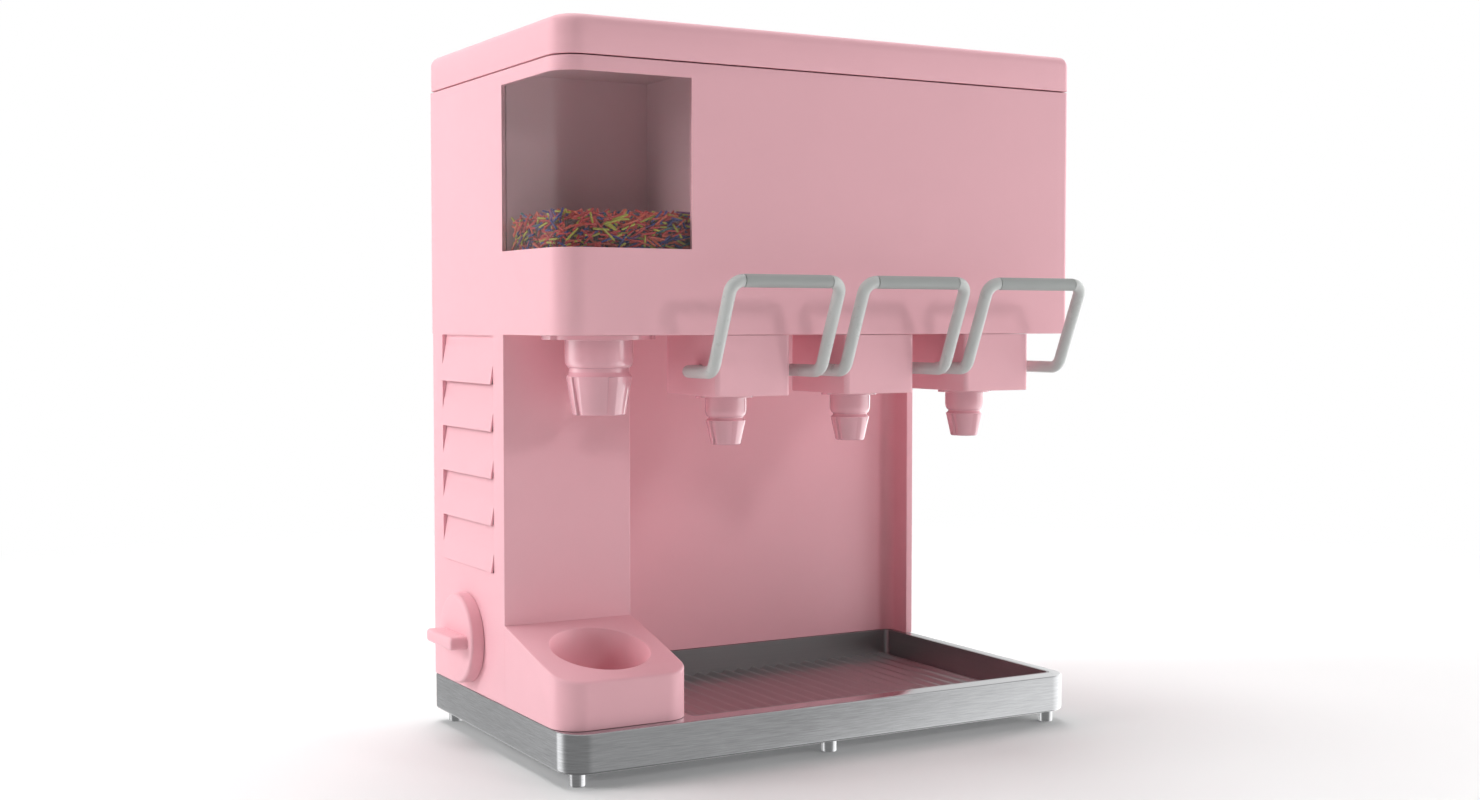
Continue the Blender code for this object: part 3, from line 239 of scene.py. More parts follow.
# ---- mesh helpers ----
def finish_piece(item, material, *nodes, body="cabinet"):
    """Gives a piece its material, its body, and hides the frame's nodes that it replaces."""
    item.data.materials.clear()
    item.data.materials.append(material)
    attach(item, body)
    if nodes:
        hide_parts(*nodes)


def smooth(mesh, angle):
    """Smooth shading, except where faces meet at more than this angle in degrees."""
    mesh.shade_smooth()
    mesh.set_sharp_from_angle(angle=math.radians(angle))


def as_object(name, shape, smooth_angle=30.0):
    """An object with this bmesh, its normals outward, smooth where faces meet at a flat angle."""
    bmesh.ops.recalc_face_normals(shape, faces=shape.faces)
    mesh = bpy.data.meshes.new(name)
    shape.to_mesh(mesh)
    shape.free()
    smooth(mesh, smooth_angle)
    item = bpy.data.objects.new(name, mesh)
    bpy.context.scene.collection.objects.link(item)
    return item


def combine(item, operation, tools):
    """Applies exact Booleans and removes the tools."""
    for tool in tools:
        modifier = item.modifiers.new("combine", "BOOLEAN")
        modifier.operation = operation
        modifier.solver = "EXACT"
        modifier.object = tool
    graph = bpy.context.evaluated_depsgraph_get()
    mesh = bpy.data.meshes.new_from_object(item.evaluated_get(graph))
    item.modifiers.clear()
    item.data = mesh
    smooth(mesh, 30.0)
    for tool in tools:
        bpy.data.objects.remove(tool, do_unlink=True)
    return item


def cut(item, *tools):
    return combine(item, "DIFFERENCE", tools)


def join(item, *tools):
    return combine(item, "UNION", tools)


def filleted(corners, step_deg=5.0, steps=None):
    """Points of an outline, or of a path with ends of radius 0. Each corner is (*place, radius)."""
    path = []
    for index, (*place, radius) in enumerate(corners):
        corner = Vector(place)
        if radius <= 0:
            path.append(corner)
            continue
        before = (Vector(corners[index - 1][:-1]) - corner).normalized()
        after = (Vector(corners[(index + 1) % len(corners)][:-1]) - corner).normalized()
        half = before.angle(after) / 2
        centre = corner + (before + after).normalized() * (radius / math.sin(half))
        reach = radius / math.tan(half)
        first, last = corner + before * reach - centre, corner + after * reach - centre
        count = steps or max(2, round(math.degrees(first.angle(last)) / step_deg))
        path += [centre + first.slerp(last, step / count) * radius for step in range(count + 1)]
    return path


def box_outline(low, high, radii=0):
    """A rectangle with one radius, or one each at its low-low, high-low, high-high and low-high corners."""
    radii = radii if isinstance(radii, (list, tuple)) else [radii] * 4
    spots = ((low[0], low[1]), (high[0], low[1]), (high[0], high[1]), (low[0], high[1]))
    return filleted([(across, up, radius) for (across, up), radius in zip(spots, radii)])


def inset(low, high, offset, radii):
    """A rectangle in plan, moved in by offset on all sides, with the given radii at its corners."""
    return box_outline([side + offset for side in low[:2]], [side - offset for side in high[:2]], radii)


def centre_of(node):
    """X, Y and Z of the middle of a node's box."""
    return [(low + high) / 2 for low, high in zip(*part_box(node))]


def quarter(steps):
    """Points (1 - cos, 1 - sin) round a quarter turn, for rounding an edge."""
    angles = [math.radians(90) * step / steps for step in range(steps + 1)]
    return [(1 - math.cos(angle), 1 - math.sin(angle)) for angle in angles]


def bridge(shape, loops):
    """Faces between each ring of vertices and the next one."""
    faces = []
    for lower, upper in zip(loops, loops[1:]):
        for index in range(len(lower)):
            following = (index + 1) % len(lower)
            faces.append(shape.faces.new((lower[index], lower[following], upper[following], upper[index])))
    return faces


def loft(name, rings, smooth_angle=30.0):
    """A closed body through rings of (X, Y, Z) points, with a flat cap at each end."""
    shape = bmesh.new()
    loops = [[shape.verts.new(point) for point in ring] for ring in rings]
    bridge(shape, loops)
    shape.faces.new(loops[0])
    shape.faces.new(loops[-1])
    return as_object(name, shape, smooth_angle)


# turns a point (across, up, along) of a body along an axis into X, Y and Z
ORDERS = {"X": lambda a, b, c: (c, a, b), "Y": lambda a, b, c: (a, c, b), "Z": lambda a, b, c: (a, b, c)}


def prism(name, outline, low, high, along="Z"):
    """An outline extruded from low to high: its points are (X, Y), (X, Z) along Y or (Y, Z) along X."""
    return loft(name, [[ORDERS[along](a, b, level) for a, b in outline] for level in (low, high)])


def block(name, low, high):
    return prism(name, box_outline(low[:2], high[:2]), low[2], high[2])


def circle(centre, radius, sides=96):
    """Points of a circle, or of the outline that a radius function of the angle gives."""
    size = radius if callable(radius) else lambda angle: radius
    angles = [math.tau * index / sides for index in range(sides)]
    return [(centre[0] + size(a) * math.cos(a), centre[1] + size(a) * math.sin(a)) for a in angles]


def spun(name, centre, profile, along="Z", sides=96, smooth_angle=30.0):
    """A closed body of (radius, height) rings about an axis through centre, which lies across it."""
    rings = [[ORDERS[along](a, b, height) for a, b in circle(centre, radius, sides)]
             for radius, height in profile]
    return loft(name, rings, smooth_angle)


def stack(name, plan, rings):
    """A closed body whose outline at the level of each (offset, level) ring is plan(offset)."""
    return loft(name, [[(x, y, level) for x, y in plan(offset)] for offset, level in rings])


def rod(name, centre, radius, low, high, along="Z", sides=96):
    return spun(name, centre, [(radius, low), (radius, high)], along, sides)


def soften(item, width, segments=2, angle=35.0):
    """Rounds the sharp edges of a finished mesh."""
    bevel = item.modifiers.new("soft_edges", "BEVEL")
    bevel.width = width
    bevel.segments = segments
    bevel.limit_method = "ANGLE"
    bevel.angle_limit = math.radians(angle)
    bevel.harden_normals = True
    bevel.miter_outer = "MITER_ARC"


def round_edges(item, width, segments, chosen):
    """Rounds the edges that chosen(edge) picks, in the mesh itself."""
    shape = bmesh.new()
    shape.from_mesh(item.data)
    edges = [edge for edge in shape.edges if chosen(edge)]
    bmesh.ops.bevel(shape, geom=edges, offset=width, segments=segments, affect="EDGES", profile=0.5)
    shape.to_mesh(item.data)
    shape.free()
    smooth(item.data, 30.0)


def level_edges(height):
    """Picks the edges that lie level at this height."""
    return lambda edge: all(abs(vertex.co.z - height) < 1e-5 for vertex in edge.verts)


# ---- housing ----
SPLASH_SETBACK = 0.0113        # from the housing's back to the front of the splash wall
FLANGE_DEPTH = 0.0387
FLANGE_WIDTH = 0.0065
FLANGE_COVE = 0.010            # fillet between splash wall and flange
VENT_MARGIN = 0.006            # how far the louvre's frame reaches behind the housing
VENT_TOP_MARGIN = 0.0001


def pillar_edges():
    """Right side and front of the pillar."""
    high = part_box("cone_holder")[1]
    return high.x, high.y + GAP


def make_pillar_housing():
    """One bent sheet: the pillar's left side, front and right side, the splash wall and its flange."""
    pillar_right, pillar_front = pillar_edges()
    splash = REAR - SPLASH_SETBACK
    flange_left, flange_front = RIGHT - FLANGE_WIDTH, REAR - FLANGE_DEPTH
    edge = SHARP_EDGE
    corners = [(LEFT, REAR, CORNER_REAR), (LEFT, pillar_front, edge), (pillar_right, pillar_front, edge),
               (pillar_right, splash, 0.003), (flange_left, splash, FLANGE_COVE),
               (flange_left, flange_front, edge), (RIGHT, flange_front, edge), (RIGHT, REAR, CORNER_REAR),
               (RIGHT - WALL, REAR, 0), (RIGHT - WALL, splash + WALL, 0),
               (pillar_right - WALL, splash + WALL, 0), (pillar_right - WALL, pillar_front + WALL, 0),
               (LEFT + WALL, pillar_front + WALL, 0), (LEFT + WALL, REAR, 0)]
    housing = prism("pillar_housing", filleted(corners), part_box("column_shell")[0].z, HEAD_LOW.z)
    shaft_hole = 0.0055
    cut(housing, prism("vent_cut", box_outline(*vent_opening()), LEFT - WALL, LEFT + 2 * WALL, "X"),
        rod("knob_hole", centre_of("knob")[1:], shaft_hole, LEFT - WALL, LEFT + 2 * WALL, "X", 48))
    finish_piece(housing, PINK, "column_shell")


def vent_opening():
    """Lowest and highest (Y, Z) corner of the louvre's opening."""
    low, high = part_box("vent_grille")
    return (low.y + VENT_MARGIN, low.z + VENT_MARGIN), (high.y - VENT_MARGIN, high.z - VENT_TOP_MARGIN)


def make_louvre():
    """Five tilted slats: each starts inside the wall and ends proud of it."""
    low, high = vent_opening()
    slats, sheet, proud, recess = 5, 0.0014, 0.0023, 0.0051
    top_slit, lip, joint = 0.0012, 0.0004, 0.0002
    pitch = (high[1] - low[1] - GAP - top_slit) / slats
    rim_low, rim_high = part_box("vent_grille")
    inside, reach = LEFT + WALL + GAP, 0.01
    louvre = prism("louvre", box_outline(rim_low.yz, rim_high.yz, 0.002), inside, inside + WALL, "X")
    side, below, above = 0.0025, 0.002, 0.0045     # how far the frame shows inside the opening
    window = box_outline((low[0] + side, low[1] + below), (high[0] - side, high[1] - above), 0.001)
    cut(louvre, prism("louvre_window", window, inside - reach, inside + reach, "X"))
    blades = []
    for number in range(slats):
        bottom = low[1] + GAP + pitch * number
        top = bottom + pitch - joint
        profile = [(LEFT - proud, bottom, lip), (LEFT - proud + sheet, bottom, lip),
                   (LEFT + recess, top, joint), (LEFT + recess - sheet, top, joint)]
        blades.append(prism(f"blade_{number}", filleted(profile, 30.0), low[0] + GAP, high[0] - GAP, "Y"))
    join(louvre, *blades)
    finish_piece(louvre, PINK, "vent_grille")


def head_plan(offset):
    """The head's two front corners, moved in by offset."""
    small = max(CORNER_RIGHT - offset, 0.001)
    return [(LEFT + offset, FRONT + offset, CORNER_LEFT - offset), (RIGHT - offset, FRONT + offset, small)]


def make_head_housing():
    """The head's left, front and right sides, with an opening for the window."""
    outside = [(LEFT, REAR, 0), *head_plan(0), (RIGHT, REAR, 0)]
    inside = [(LEFT + WALL, REAR, 0), *head_plan(WALL), (RIGHT - WALL, REAR, 0)]
    housing = prism("head_housing", filleted(outside + inside[::-1]), HEAD_LOW.z, HEAD_HIGH.z)

    def on_outside(edge):
        middle = (edge.verts[0].co + edge.verts[1].co) / 2
        outer = min(middle.x - LEFT, middle.y - FRONT, RIGHT - middle.x)
        in_corner = middle.x < ROUND_CENTRE.x and middle.y < ROUND_CENTRE.y
        distance = CORNER_LEFT - (middle.xy - ROUND_CENTRE).length if in_corner else outer
        return distance < WALL / 3 and middle.y < REAR - 1e-4

    top_edges, bottom_edges = level_edges(HEAD_HIGH.z), level_edges(HEAD_LOW.z)
    _, pillar_front = pillar_edges()

    def exposed(edge):
        ahead = max(vertex.co.y for vertex in edge.verts) < pillar_front
        return on_outside(edge) and (top_edges(edge) or (bottom_edges(edge) and ahead))

    round_edges(housing, SHARP_EDGE, 3, exposed)
    pane_low, pane_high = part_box("window_pane")
    reach = 0.01
    cut(housing, block("window_cut", (LEFT - reach, FRONT - reach, pane_low.z - GAP),
                       (pane_high.x + GAP, pane_high.y + GAP, pane_high.z + GAP)))
    finish_piece(housing, PINK, "head_shell")


def make_bin():
    """The sprinkles' tub: its rear and right walls reach its roof, the others the window. A cap closes it."""
    low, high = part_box("sprinkle_bin")
    fill_low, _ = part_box("sprinkle_fill")
    sheet, chute, chute_hole, shaft_hole = 0.002, 0.0245, 0.022, 0.004
    floor_bottom, roof = fill_low.z - sheet - GAP, HEAD_HIGH.z - GAP
    corner, mouth_corner = CORNER_LEFT - (low.x - LEFT), 0.008
    rim, slack, proud = 0.018, 0.0004, 0.0006      # the roof's width round its mouth, the cap's play and rise

    def plan(offset):
        return inset(low, high, offset, (corner - offset, 0.004, 0.004, 0.004))

    tub = prism("sprinkle_tub", plan(0), floor_bottom, roof)
    cut(tub, prism("tub_hollow", plan(sheet), fill_low.z - GAP, roof - sheet),
        block("tub_window", (LEFT - WALL, FRONT - WALL, WINDOW_FLOOR - sheet),
              (high.x - sheet, high.y - sheet, roof - sheet)),
        prism("tub_mouth", inset(low, high, rim, mouth_corner), roof - 2 * sheet, roof + WALL))
    nozzle, shaft = centre_of("sprinkle_nozzle")[:2], centre_of("sprinkle_rotor")[::2]
    join(tub, rod("chute", nozzle, chute, low.z, floor_bottom + sheet / 2))
    cut(tub, rod("chute_hole", nozzle, chute_hole, low.z - WALL, floor_bottom + 2 * WALL),
        rod("rotor_hole", shaft, shaft_hole, nozzle[1], high.y, "Y", 32))
    finish_piece(tub, SHADED_BIN_PINK, "sprinkle_bin")

    cap = prism("sprinkle_cap", inset(low, high, rim + slack, mouth_corner - slack), roof - sheet,
                roof + proud)
    pull, edge, height = 0.007, 0.001, 0.005
    join(cap, spun("cap_pull", centre_of("sprinkle_bin")[:2],
                   [(pull, roof), (pull, roof + height - edge), (pull - edge, roof + height)]))
    finish_piece(cap, SHADED_BIN_PINK)


def make_window():
    """A bent pane round the head's front left corner. It lets the light in unhindered."""
    low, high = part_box("window_pane")
    thick = 0.0025
    outline = [(LEFT, high.y, 0), (LEFT, FRONT, CORNER_LEFT), (high.x, FRONT, 0),
               (high.x, FRONT + thick, 0), (LEFT + thick, FRONT + thick, CORNER_LEFT - thick),
               (LEFT + thick, high.y, 0)]
    pane = prism("window_glass", filleted(outline, 3.0), low.z, high.z)
    pane.visible_shadow = False
    pane.visible_diffuse = False
    finish_piece(pane, ACRYLIC, "window_pane")


def make_lid():
    """A shell with a soft top edge, open below."""
    rim, smallest = SHARP_EDGE, 0.0004
    corners = (CORNER_LEFT, CORNER_RIGHT, CORNER_REAR, CORNER_REAR)

    def plan(offset):
        return inset(LID_LOW, LID_HIGH, offset, [max(corner - offset, smallest) for corner in corners])

    rings = [(WALL, LID_HIGH.z - LID_EDGE), (WALL, LID_LOW.z), (rim, LID_LOW.z),
             (rim / 3, LID_LOW.z + rim / 3), (0, LID_LOW.z + rim)]
    rings += [(LID_EDGE * across, LID_HIGH.z - LID_EDGE * up) for across, up in quarter(10)]
    lid = stack("lid_cover", plan, rings)
    finish_piece(lid, PINK, "lid", body="lid")


def make_back_cover():
    """A panel with a hole for the mains inlet and two groups of air slots."""
    low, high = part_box("back_panel")
    inlet_low, inlet_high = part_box("power_inlet")
    cover = prism("back_cover", box_outline(low.xz, high.xz, 0.001), low.y, high.y, "Y")
    edge = 0.0037              # how far the inlet's flange covers its hole's edge
    outlines = [inset(inlet_low.xz, inlet_high.xz, edge, 0.002)]
    slot_height, slot_pitch, slot_round = 0.005, 0.016, 0.00245
    for start, bottom, length in ((0.020, 0.180, 0.070), (0.250, 0.360, 0.150)):
        left = LEFT + start
        for z in (bottom + slot_pitch * row for row in range(6)):
            outlines.append(box_outline((left, z), (left + length, z + slot_height), slot_round))
    cut(cover, *[prism("opening", outline, low.y - WALL, high.y + WALL, "Y") for outline in outlines])
    finish_piece(cover, PINK, "back_panel")


def make_cone_rest():
    """A block with a sloping top, round front corners and a deep round hole."""
    low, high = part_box("cone_holder")
    rise = 0.026               # how much higher the top is at the back
    hole_setback, radius, hole_fillet = 0.0527, 0.0372, 0.004
    high.y = pillar_edges()[1] - 0.00004   # all but touches the pillar, so no slit shows
    plan = box_outline(low.xy, high.xy, (CORNER_LEFT, CORNER_LEFT, 0.0001, 0.0001))

    def top(y):
        return high.z - rise * (high.y - y) / (high.y - low.y)

    rest = loft("cone_rest", [[(x, y, low.z) for x, y in plan], [(x, y, top(y)) for x, y in plan]])

    def on_top(edge):
        return all(abs(vertex.co.z - top(vertex.co.y)) < 1e-5 and vertex.co.y < high.y - 1e-4
                   for vertex in edge.verts)

    round_edges(rest, 0.0022, 5, on_top)
    centre, floor = (centre_of("sprinkle_nozzle")[0], low.y + hole_setback), low.z + 0.0021
    cut(rest, spun("cone_hole", centre, [(radius - hole_fillet, floor), (radius, floor + hole_fillet),
                                         (radius, high.z + WALL)]))

    def on_lip(edge):
        return all(abs((vertex.co.xy - Vector(centre)).length - radius) < 1e-4
                   and abs(vertex.co.z - top(vertex.co.y)) < 1e-4 for vertex in edge.verts)

    round_edges(rest, 0.0008, 3, on_lip)
    finish_piece(rest, PINK, "cone_holder")


# ---- base and tray ----
def make_base():
    """A steel pan: round front corners, softened edges and a well for the tray."""
    sheet, top_edge, bottom_edge = 0.002, 0.0015, 0.0024
    tray_low, tray_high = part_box("drip_tray")

    def plan(offset):
        radii = [radius - offset for radius in (CORNER_BASE, CORNER_BASE, 0.004, 0.004)]
        return inset(BASE_LOW, BASE_HIGH, offset, radii)

    rings = [(bottom_edge * up, BASE_LOW.z + bottom_edge * across) for across, up in quarter(6)]
    rings += [(top_edge * across, BASE_HIGH.z - top_edge * up) for across, up in quarter(6)]
    pan = stack("steel_base", plan, rings)
    well = inset(tray_low, tray_high, -GAP, TRAY_CORNER)
    pillar_right, pillar_front = pillar_edges()
    machinery = box_outline((LEFT + WALL, pillar_front), (pillar_right - WALL, REAR - WALL), 0.003)
    cut(pan, prism("tray_well", well, BASE_LOW.z + sheet, BASE_HIGH.z + WALL),
        prism("machinery_well", machinery, BASE_LOW.z + sheet, BASE_HIGH.z + WALL))
    finish_piece(pan, STEEL, "base_pan")


def make_tray():
    """A steel tray whose floor is pressed into ribs that run from front to back."""
    low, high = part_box("drip_tray")
    wall, ribs, steps = 0.0015, 24, 12
    mean, wave, fall = 0.0172, 0.0015, 0.0004      # the floor's height, its ribs' and its fall to the middle
    tray = prism("steel_tray", box_outline(low.xy, high.xy, TRAY_CORNER), low.z, high.z)
    left, right = low.x + wall, high.x - wall
    crests = []
    for step in range(ribs * steps + 1):
        share = step / (ribs * steps)
        height = mean - fall * math.sin(math.pi * share) - wave * math.cos(math.tau * step / steps)
        crests.append((left + (right - left) * share, height))
    outline = crests + [(right, high.z + WALL), (left, high.z + WALL)]
    hollow = prism("tray_hollow", outline, low.y + wall, high.y - wall, "Y")
    inner = inset(low, high, wall, TRAY_CORNER - wall)
    combine(hollow, "INTERSECT", [prism("tray_corners", inner, low.z - WALL, high.z + 2 * WALL)])
    cut(tray, hollow)
    soften(tray, 0.0004, angle=60.0)
    finish_piece(tray, SHADED_TRAY_STEEL, "drip_tray", body="drip_tray")


def make_feet():
    """Short round feet with a small rounded edge at the bottom."""
    for row in ("front", "rear"):
        for column in SIDES:
            node = f"foot_{row}_{column}"
            low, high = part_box(node)
            radius, edge = (high.x - low.x) / 2, 0.0008
            profile = [(radius - edge, low.z), (radius - edge * 0.3, low.z + edge * 0.3),
                       (radius, low.z + edge), (radius, high.z)]
            foot = spun(f"steel_{node}", centre_of(node)[:2], profile, sides=64)
            finish_piece(foot, STEEL, node)


# ---- sprinkles ----
ROD_COUNT = 1050
ROD_LENGTH = 0.0125
ROD_RADIUS = 0.00080
HEAP_SKIN = 0.0075             # depth of the loose rods along the panes and on top


def make_sprinkles():
    """Loose rods over a lumpy core, inside the bin."""
    low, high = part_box("sprinkle_fill")
    draw = random.Random(7)
    shape = bmesh.new()
    numbers = shape.faces.layers.float.new("rod_number")
    reach = CORNER_LEFT - (low.x - LEFT)

    def inside(point):
        in_box = low.x < point.x < high.x and low.y < point.y < high.y and point.z > low.z
        in_corner = point.x < ROUND_CENTRE.x and point.y < ROUND_CENTRE.y
        return in_box and not (in_corner and (point.xy - ROUND_CENTRE).length > reach)

    sideways, lean_scatter, turn_scatter = 90, 28, 25      # degrees
    on_left, on_front = 0.30, 0.66         # draws below these put a rod along the left or the front pane
    below, above = 0.001, 0.0035           # the rods' middles below the heap's top, their ends above it
    made = 0
    while made < ROD_COUNT:
        length = ROD_LENGTH * draw.uniform(0.85, 1.05)
        lean = math.radians(draw.gauss(0, lean_scatter))
        turn = draw.uniform(0, math.tau)
        place = draw.random()
        x, y = draw.uniform(low.x, high.x), draw.uniform(low.y, high.y)
        z = draw.uniform(WINDOW_FLOOR - 0.006, high.z - below)
        if place < on_left:
            x = low.x + HEAP_SKIN * draw.random()
            turn = math.radians(sideways + draw.gauss(0, turn_scatter))
        elif place < on_front:
            y = low.y + HEAP_SKIN * draw.random()
            turn = math.radians(draw.gauss(0, turn_scatter))
        else:
            z = high.z - 0.005 + 0.007 * draw.random()
        direction = Vector((math.cos(turn) * math.cos(lean), math.sin(turn) * math.cos(lean), math.sin(lean)))
        middle = Vector((x, y, z))
        half = direction * length / 2
        margin = direction * ROD_RADIUS
        if not (inside(middle - half - margin) and inside(middle + half + margin)):
            continue
        if max((middle - half).z, (middle + half).z) > high.z + above:
            continue
        add_rod(shape, numbers, middle - half, middle + half, draw.uniform(0.0, ROD_NUMBERS))
        made += 1
    heap = as_object("sprinkle_heap", shape, 50.0)
    finish_piece(heap, SUGAR, "sprinkle_fill")


def ring(shape, centre, across, other, radius, sides):
    """Vertices of a circle in the plane of the unit vectors across and other."""
    turns = [math.tau * index / sides for index in range(sides)]
    return [shape.verts.new(centre + (across * math.cos(turn) + other * math.sin(turn)) * radius)
            for turn in turns]


def add_rod(shape, numbers, start, end, number, sides=7):
    """A rod with rounded ends."""
    along = (end - start).normalized()
    across = along.orthogonal().normalized()
    shoulder = along * ROD_RADIUS * 0.6
    stations = ((start, 0.55), (start + shoulder, 1.0), (end - shoulder, 1.0), (end, 0.55))
    loops = [ring(shape, centre, across, along.cross(across), ROD_RADIUS * share, sides)
             for centre, share in stations]
    faces = [shape.faces.new(loops[0][::-1]), shape.faces.new(loops[-1]), *bridge(shape, loops)]
    for face in faces:
        face[numbers] = number


def make_sprinkle_core():
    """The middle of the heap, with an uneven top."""
    # The core's near-black colour is painted shade deep in the heap.
    low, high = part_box("sprinkle_fill")
    draw = random.Random(11)
    margin, columns = 0.0065, 40
    reach = CORNER_LEFT - (low.x + margin - LEFT)
    shape = bmesh.new()
    bmesh.ops.create_grid(shape, x_segments=columns, y_segments=columns, size=0.5)
    for vertex in shape.verts:
        x = low.x + margin + (vertex.co.x + 0.5) * (high.x - low.x - 2 * margin)
        y = low.y + margin + (vertex.co.y + 0.5) * (high.y - low.y - 2 * margin)
        z = high.z - 0.006 + draw.uniform(-0.001, 0.001)
        offset = Vector((x, y)) - ROUND_CENTRE
        if offset.x < 0 and offset.y < 0 and offset.length > reach:
            x, y = ROUND_CENTRE + offset.normalized() * reach
        vertex.co = (x, y, z)
    sides = bmesh.ops.extrude_face_region(shape, geom=list(shape.faces))
    for vertex in (item for item in sides["geom"] if isinstance(item, bmesh.types.BMVert)):
        vertex.co.z = low.z
    numbers = shape.faces.layers.float.new("rod_number")
    for face in shape.faces:
        face[numbers] = CORE_SHADE_NUMBER
    core = as_object("sprinkle_core", shape, 50.0)
    finish_piece(core, SUGAR)


# ---- nozzles and taps ----
NOZZLE_SIDES = 240
GROOVES = 5                    # grooves down the outside of a nozzle's tip
GROOVE_FACING = math.radians(270)      # the first one faces the front
GROOVE_HALF = math.radians(9.0)        # half the angle that a groove takes up
GROOVE_BANK = math.radians(1.5)        # angle taken up by its steep side
COLLAR_GROOVE = 0.05           # groove depths as shares of the radius
TIP_GROOVE = 0.13


def grooved(radius, depth):
    """Radius by angle of a circle with grooves: each drops steeply on one side and slopes up to the other."""
    pitch = math.tau / GROOVES

    def size(angle):
        along = (angle - GROOVE_FACING + pitch / 2) % pitch - pitch / 2 + GROOVE_HALF
        fall = min(along / GROOVE_BANK, (2 * GROOVE_HALF - along) / (2 * GROOVE_HALF - GROOVE_BANK))
        return radius * (1 - depth * max(0.0, fall))

    return size


def lugged(radius, reach, half_width):
    """Radius by angle of a round flange with a lug on the left and one on the right."""
    def size(angle):
        across = abs(math.sin(angle)) * reach
        if across < half_width:
            return reach
        fade = (across - half_width) / (half_width * 0.25)
        return radius if fade > 1 else reach + (radius - reach) * fade
    return size


def nozzle_rings(low, top, flange, flange_radius, lug_half, lug_reach, neck, waist, collar, tip, bore):
    """Rings of a nozzle from the bottom of its bore, round its mouth and up its outside.

    Each of neck, waist and collar is (radius, distance below the flange's top).
    """
    wall_share = 0.90          # of the radius at the bottom of the grooves, up to the bore
    mouth = tip * (1 - TIP_GROOVE) * wall_share
    inner = min(bore, collar[0] * (1 - TIP_GROOVE) * wall_share)
    rings = [(bore, top - flange), (bore, top - neck[1]), (inner, top - collar[1]), (mouth, low + 0.0004),
             (mouth + 0.0004, low)]
    tip_round = 0.0006
    rings += [(grooved(tip - tip_round, TIP_GROOVE), low), (grooved(tip, TIP_GROOVE), low + tip_round)]
    lip = 0.0006
    rings += [(grooved(collar[0], COLLAR_GROOVE), top - collar[1] - lip),
              (collar[0], top - collar[1] - lip * 0.5), (collar[0], top - collar[1])]
    rings += ease((collar[0], top - collar[1]), (waist[0], top - waist[1]), 4, 0.35)
    for across, up in quarter(8):
        drop = waist[1] - (waist[1] - neck[1]) * across
        rings.append((neck[0] + (waist[0] - neck[0]) * up, top - drop))
    cove = 0.0008
    rings += [(neck[0], top - flange - cove), (neck[0] + cove * 0.3, top - flange - cove * 0.3),
              (neck[0] + cove, top - flange)]
    plate = lugged(flange_radius, lug_reach, lug_half)
    rings += [(plate, top - flange), (plate, top)]
    return rings


def ease(start, end, steps, sag):
    """Points of a shallow inward curve from start to end, ends left out."""
    points = []
    for step in range(1, steps):
        share = step / steps
        dip = sag * math.sin(math.pi * share) * abs(start[0] - end[0])
        points.append((start[0] + (end[0] - start[0]) * share - dip, start[1] + (end[1] - start[1]) * share))
    return points


def make_nozzle(name, node, **sizes):
    """One nozzle: its sizes are those that nozzle_rings takes."""
    low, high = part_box(node)
    rings = nozzle_rings(low.z, high.z, **sizes)
    nozzle = spun(name, centre_of(node)[:2], rings, sides=NOZZLE_SIDES, smooth_angle=14.0)
    finish_piece(nozzle, SHADED_NOZZLE_PINK, node)


def make_nozzles():
    make_nozzle("big_nozzle", "sprinkle_nozzle", flange=0.003, flange_radius=0.039, lug_half=0.0084,
                lug_reach=0.043, neck=(0.0252, 0.0168), waist=(0.0221, 0.0238), collar=(0.0242, 0.0298),
                tip=0.0198, bore=0.0195)
    for side in SIDES:
        make_nozzle(f"nozzle_{side}", f"tap_nozzle_{side}", flange=0.0018, flange_radius=0.0205,
                    lug_half=0.0044, lug_reach=0.024, neck=(0.0159, 0.0106), waist=(0.01325, 0.0166),
                    collar=(0.01515, 0.0191), tip=0.01135, bore=0.010)


def make_tap_body(side):
    """A block with soft front corners, bored for the valve and for the lever's two ends."""
    node = f"tap_block_{side}"
    low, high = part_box(node)
    front_edge, rear_edge, lip = 0.0042, 0.0012, 0.0008

    def plan(offset):
        radii = [edge - offset for edge in (front_edge, front_edge, rear_edge, rear_edge)]
        return inset(low, high, offset, radii)

    rings = [(lip, low.z), (lip * 0.3, low.z + lip * 0.3), (0, low.z + lip), (0, high.z)]
    body = stack(f"tap_body_{side}", plan, rings)
    pivot = JOINTS[f"handle_{side}_pull"]["pos_m"][1:]
    bore_centre = (centre_of(node)[0], centre_of(f"tap_nozzle_{side}")[1])
    bore, hole, depth = 0.010, 0.00505, 0.0084
    cut(body, rod("bore", bore_centre, bore, low.z - WALL, high.z + WALL),
        rod("pivot_left", pivot, hole, low.x - WALL, low.x + depth, "X", 48),
        rod("pivot_right", pivot, hole, high.x - depth, high.x + WALL, "X", 48))
    finish_piece(body, PINK, node)


# ---- levers ----
BAR_RADIUS = 0.00465
ELBOW_AHEAD = 0.0196           # from the tap block's front to where the lever turns up
PIVOT_REACH = 0.008            # how far the lever's ends enter the block
BEND_BLOCK, BEND_ELBOW, BEND_GRIP = 0.010, 0.012, 0.009


def lever_path(side):
    """Centreline of a U-shaped lever, from inside one side of its block, round the grip, to the other."""
    block_low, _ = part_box(f"tap_block_{side}")
    pivot_y, pivot_z = JOINTS[f"handle_{side}_pull"]["pos_m"][1:]
    grip_y, grip_z = centre_of(f"grip_sleeve_{side}")[1:]
    middle = centre_of(f"handle_{side}")[0]
    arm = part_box(f"handle_{side}")[0].x + BAR_RADIUS
    elbow_y = block_low.y - ELBOW_AHEAD
    half = [(block_low.x + PIVOT_REACH, pivot_y, pivot_z, 0), (arm, pivot_y, pivot_z, BEND_BLOCK),
            (arm, elbow_y, pivot_z, BEND_ELBOW), (arm, grip_y, grip_z, BEND_GRIP)]
    return filleted(half + [(2 * middle - x, *rest) for x, *rest in reversed(half)], steps=16)


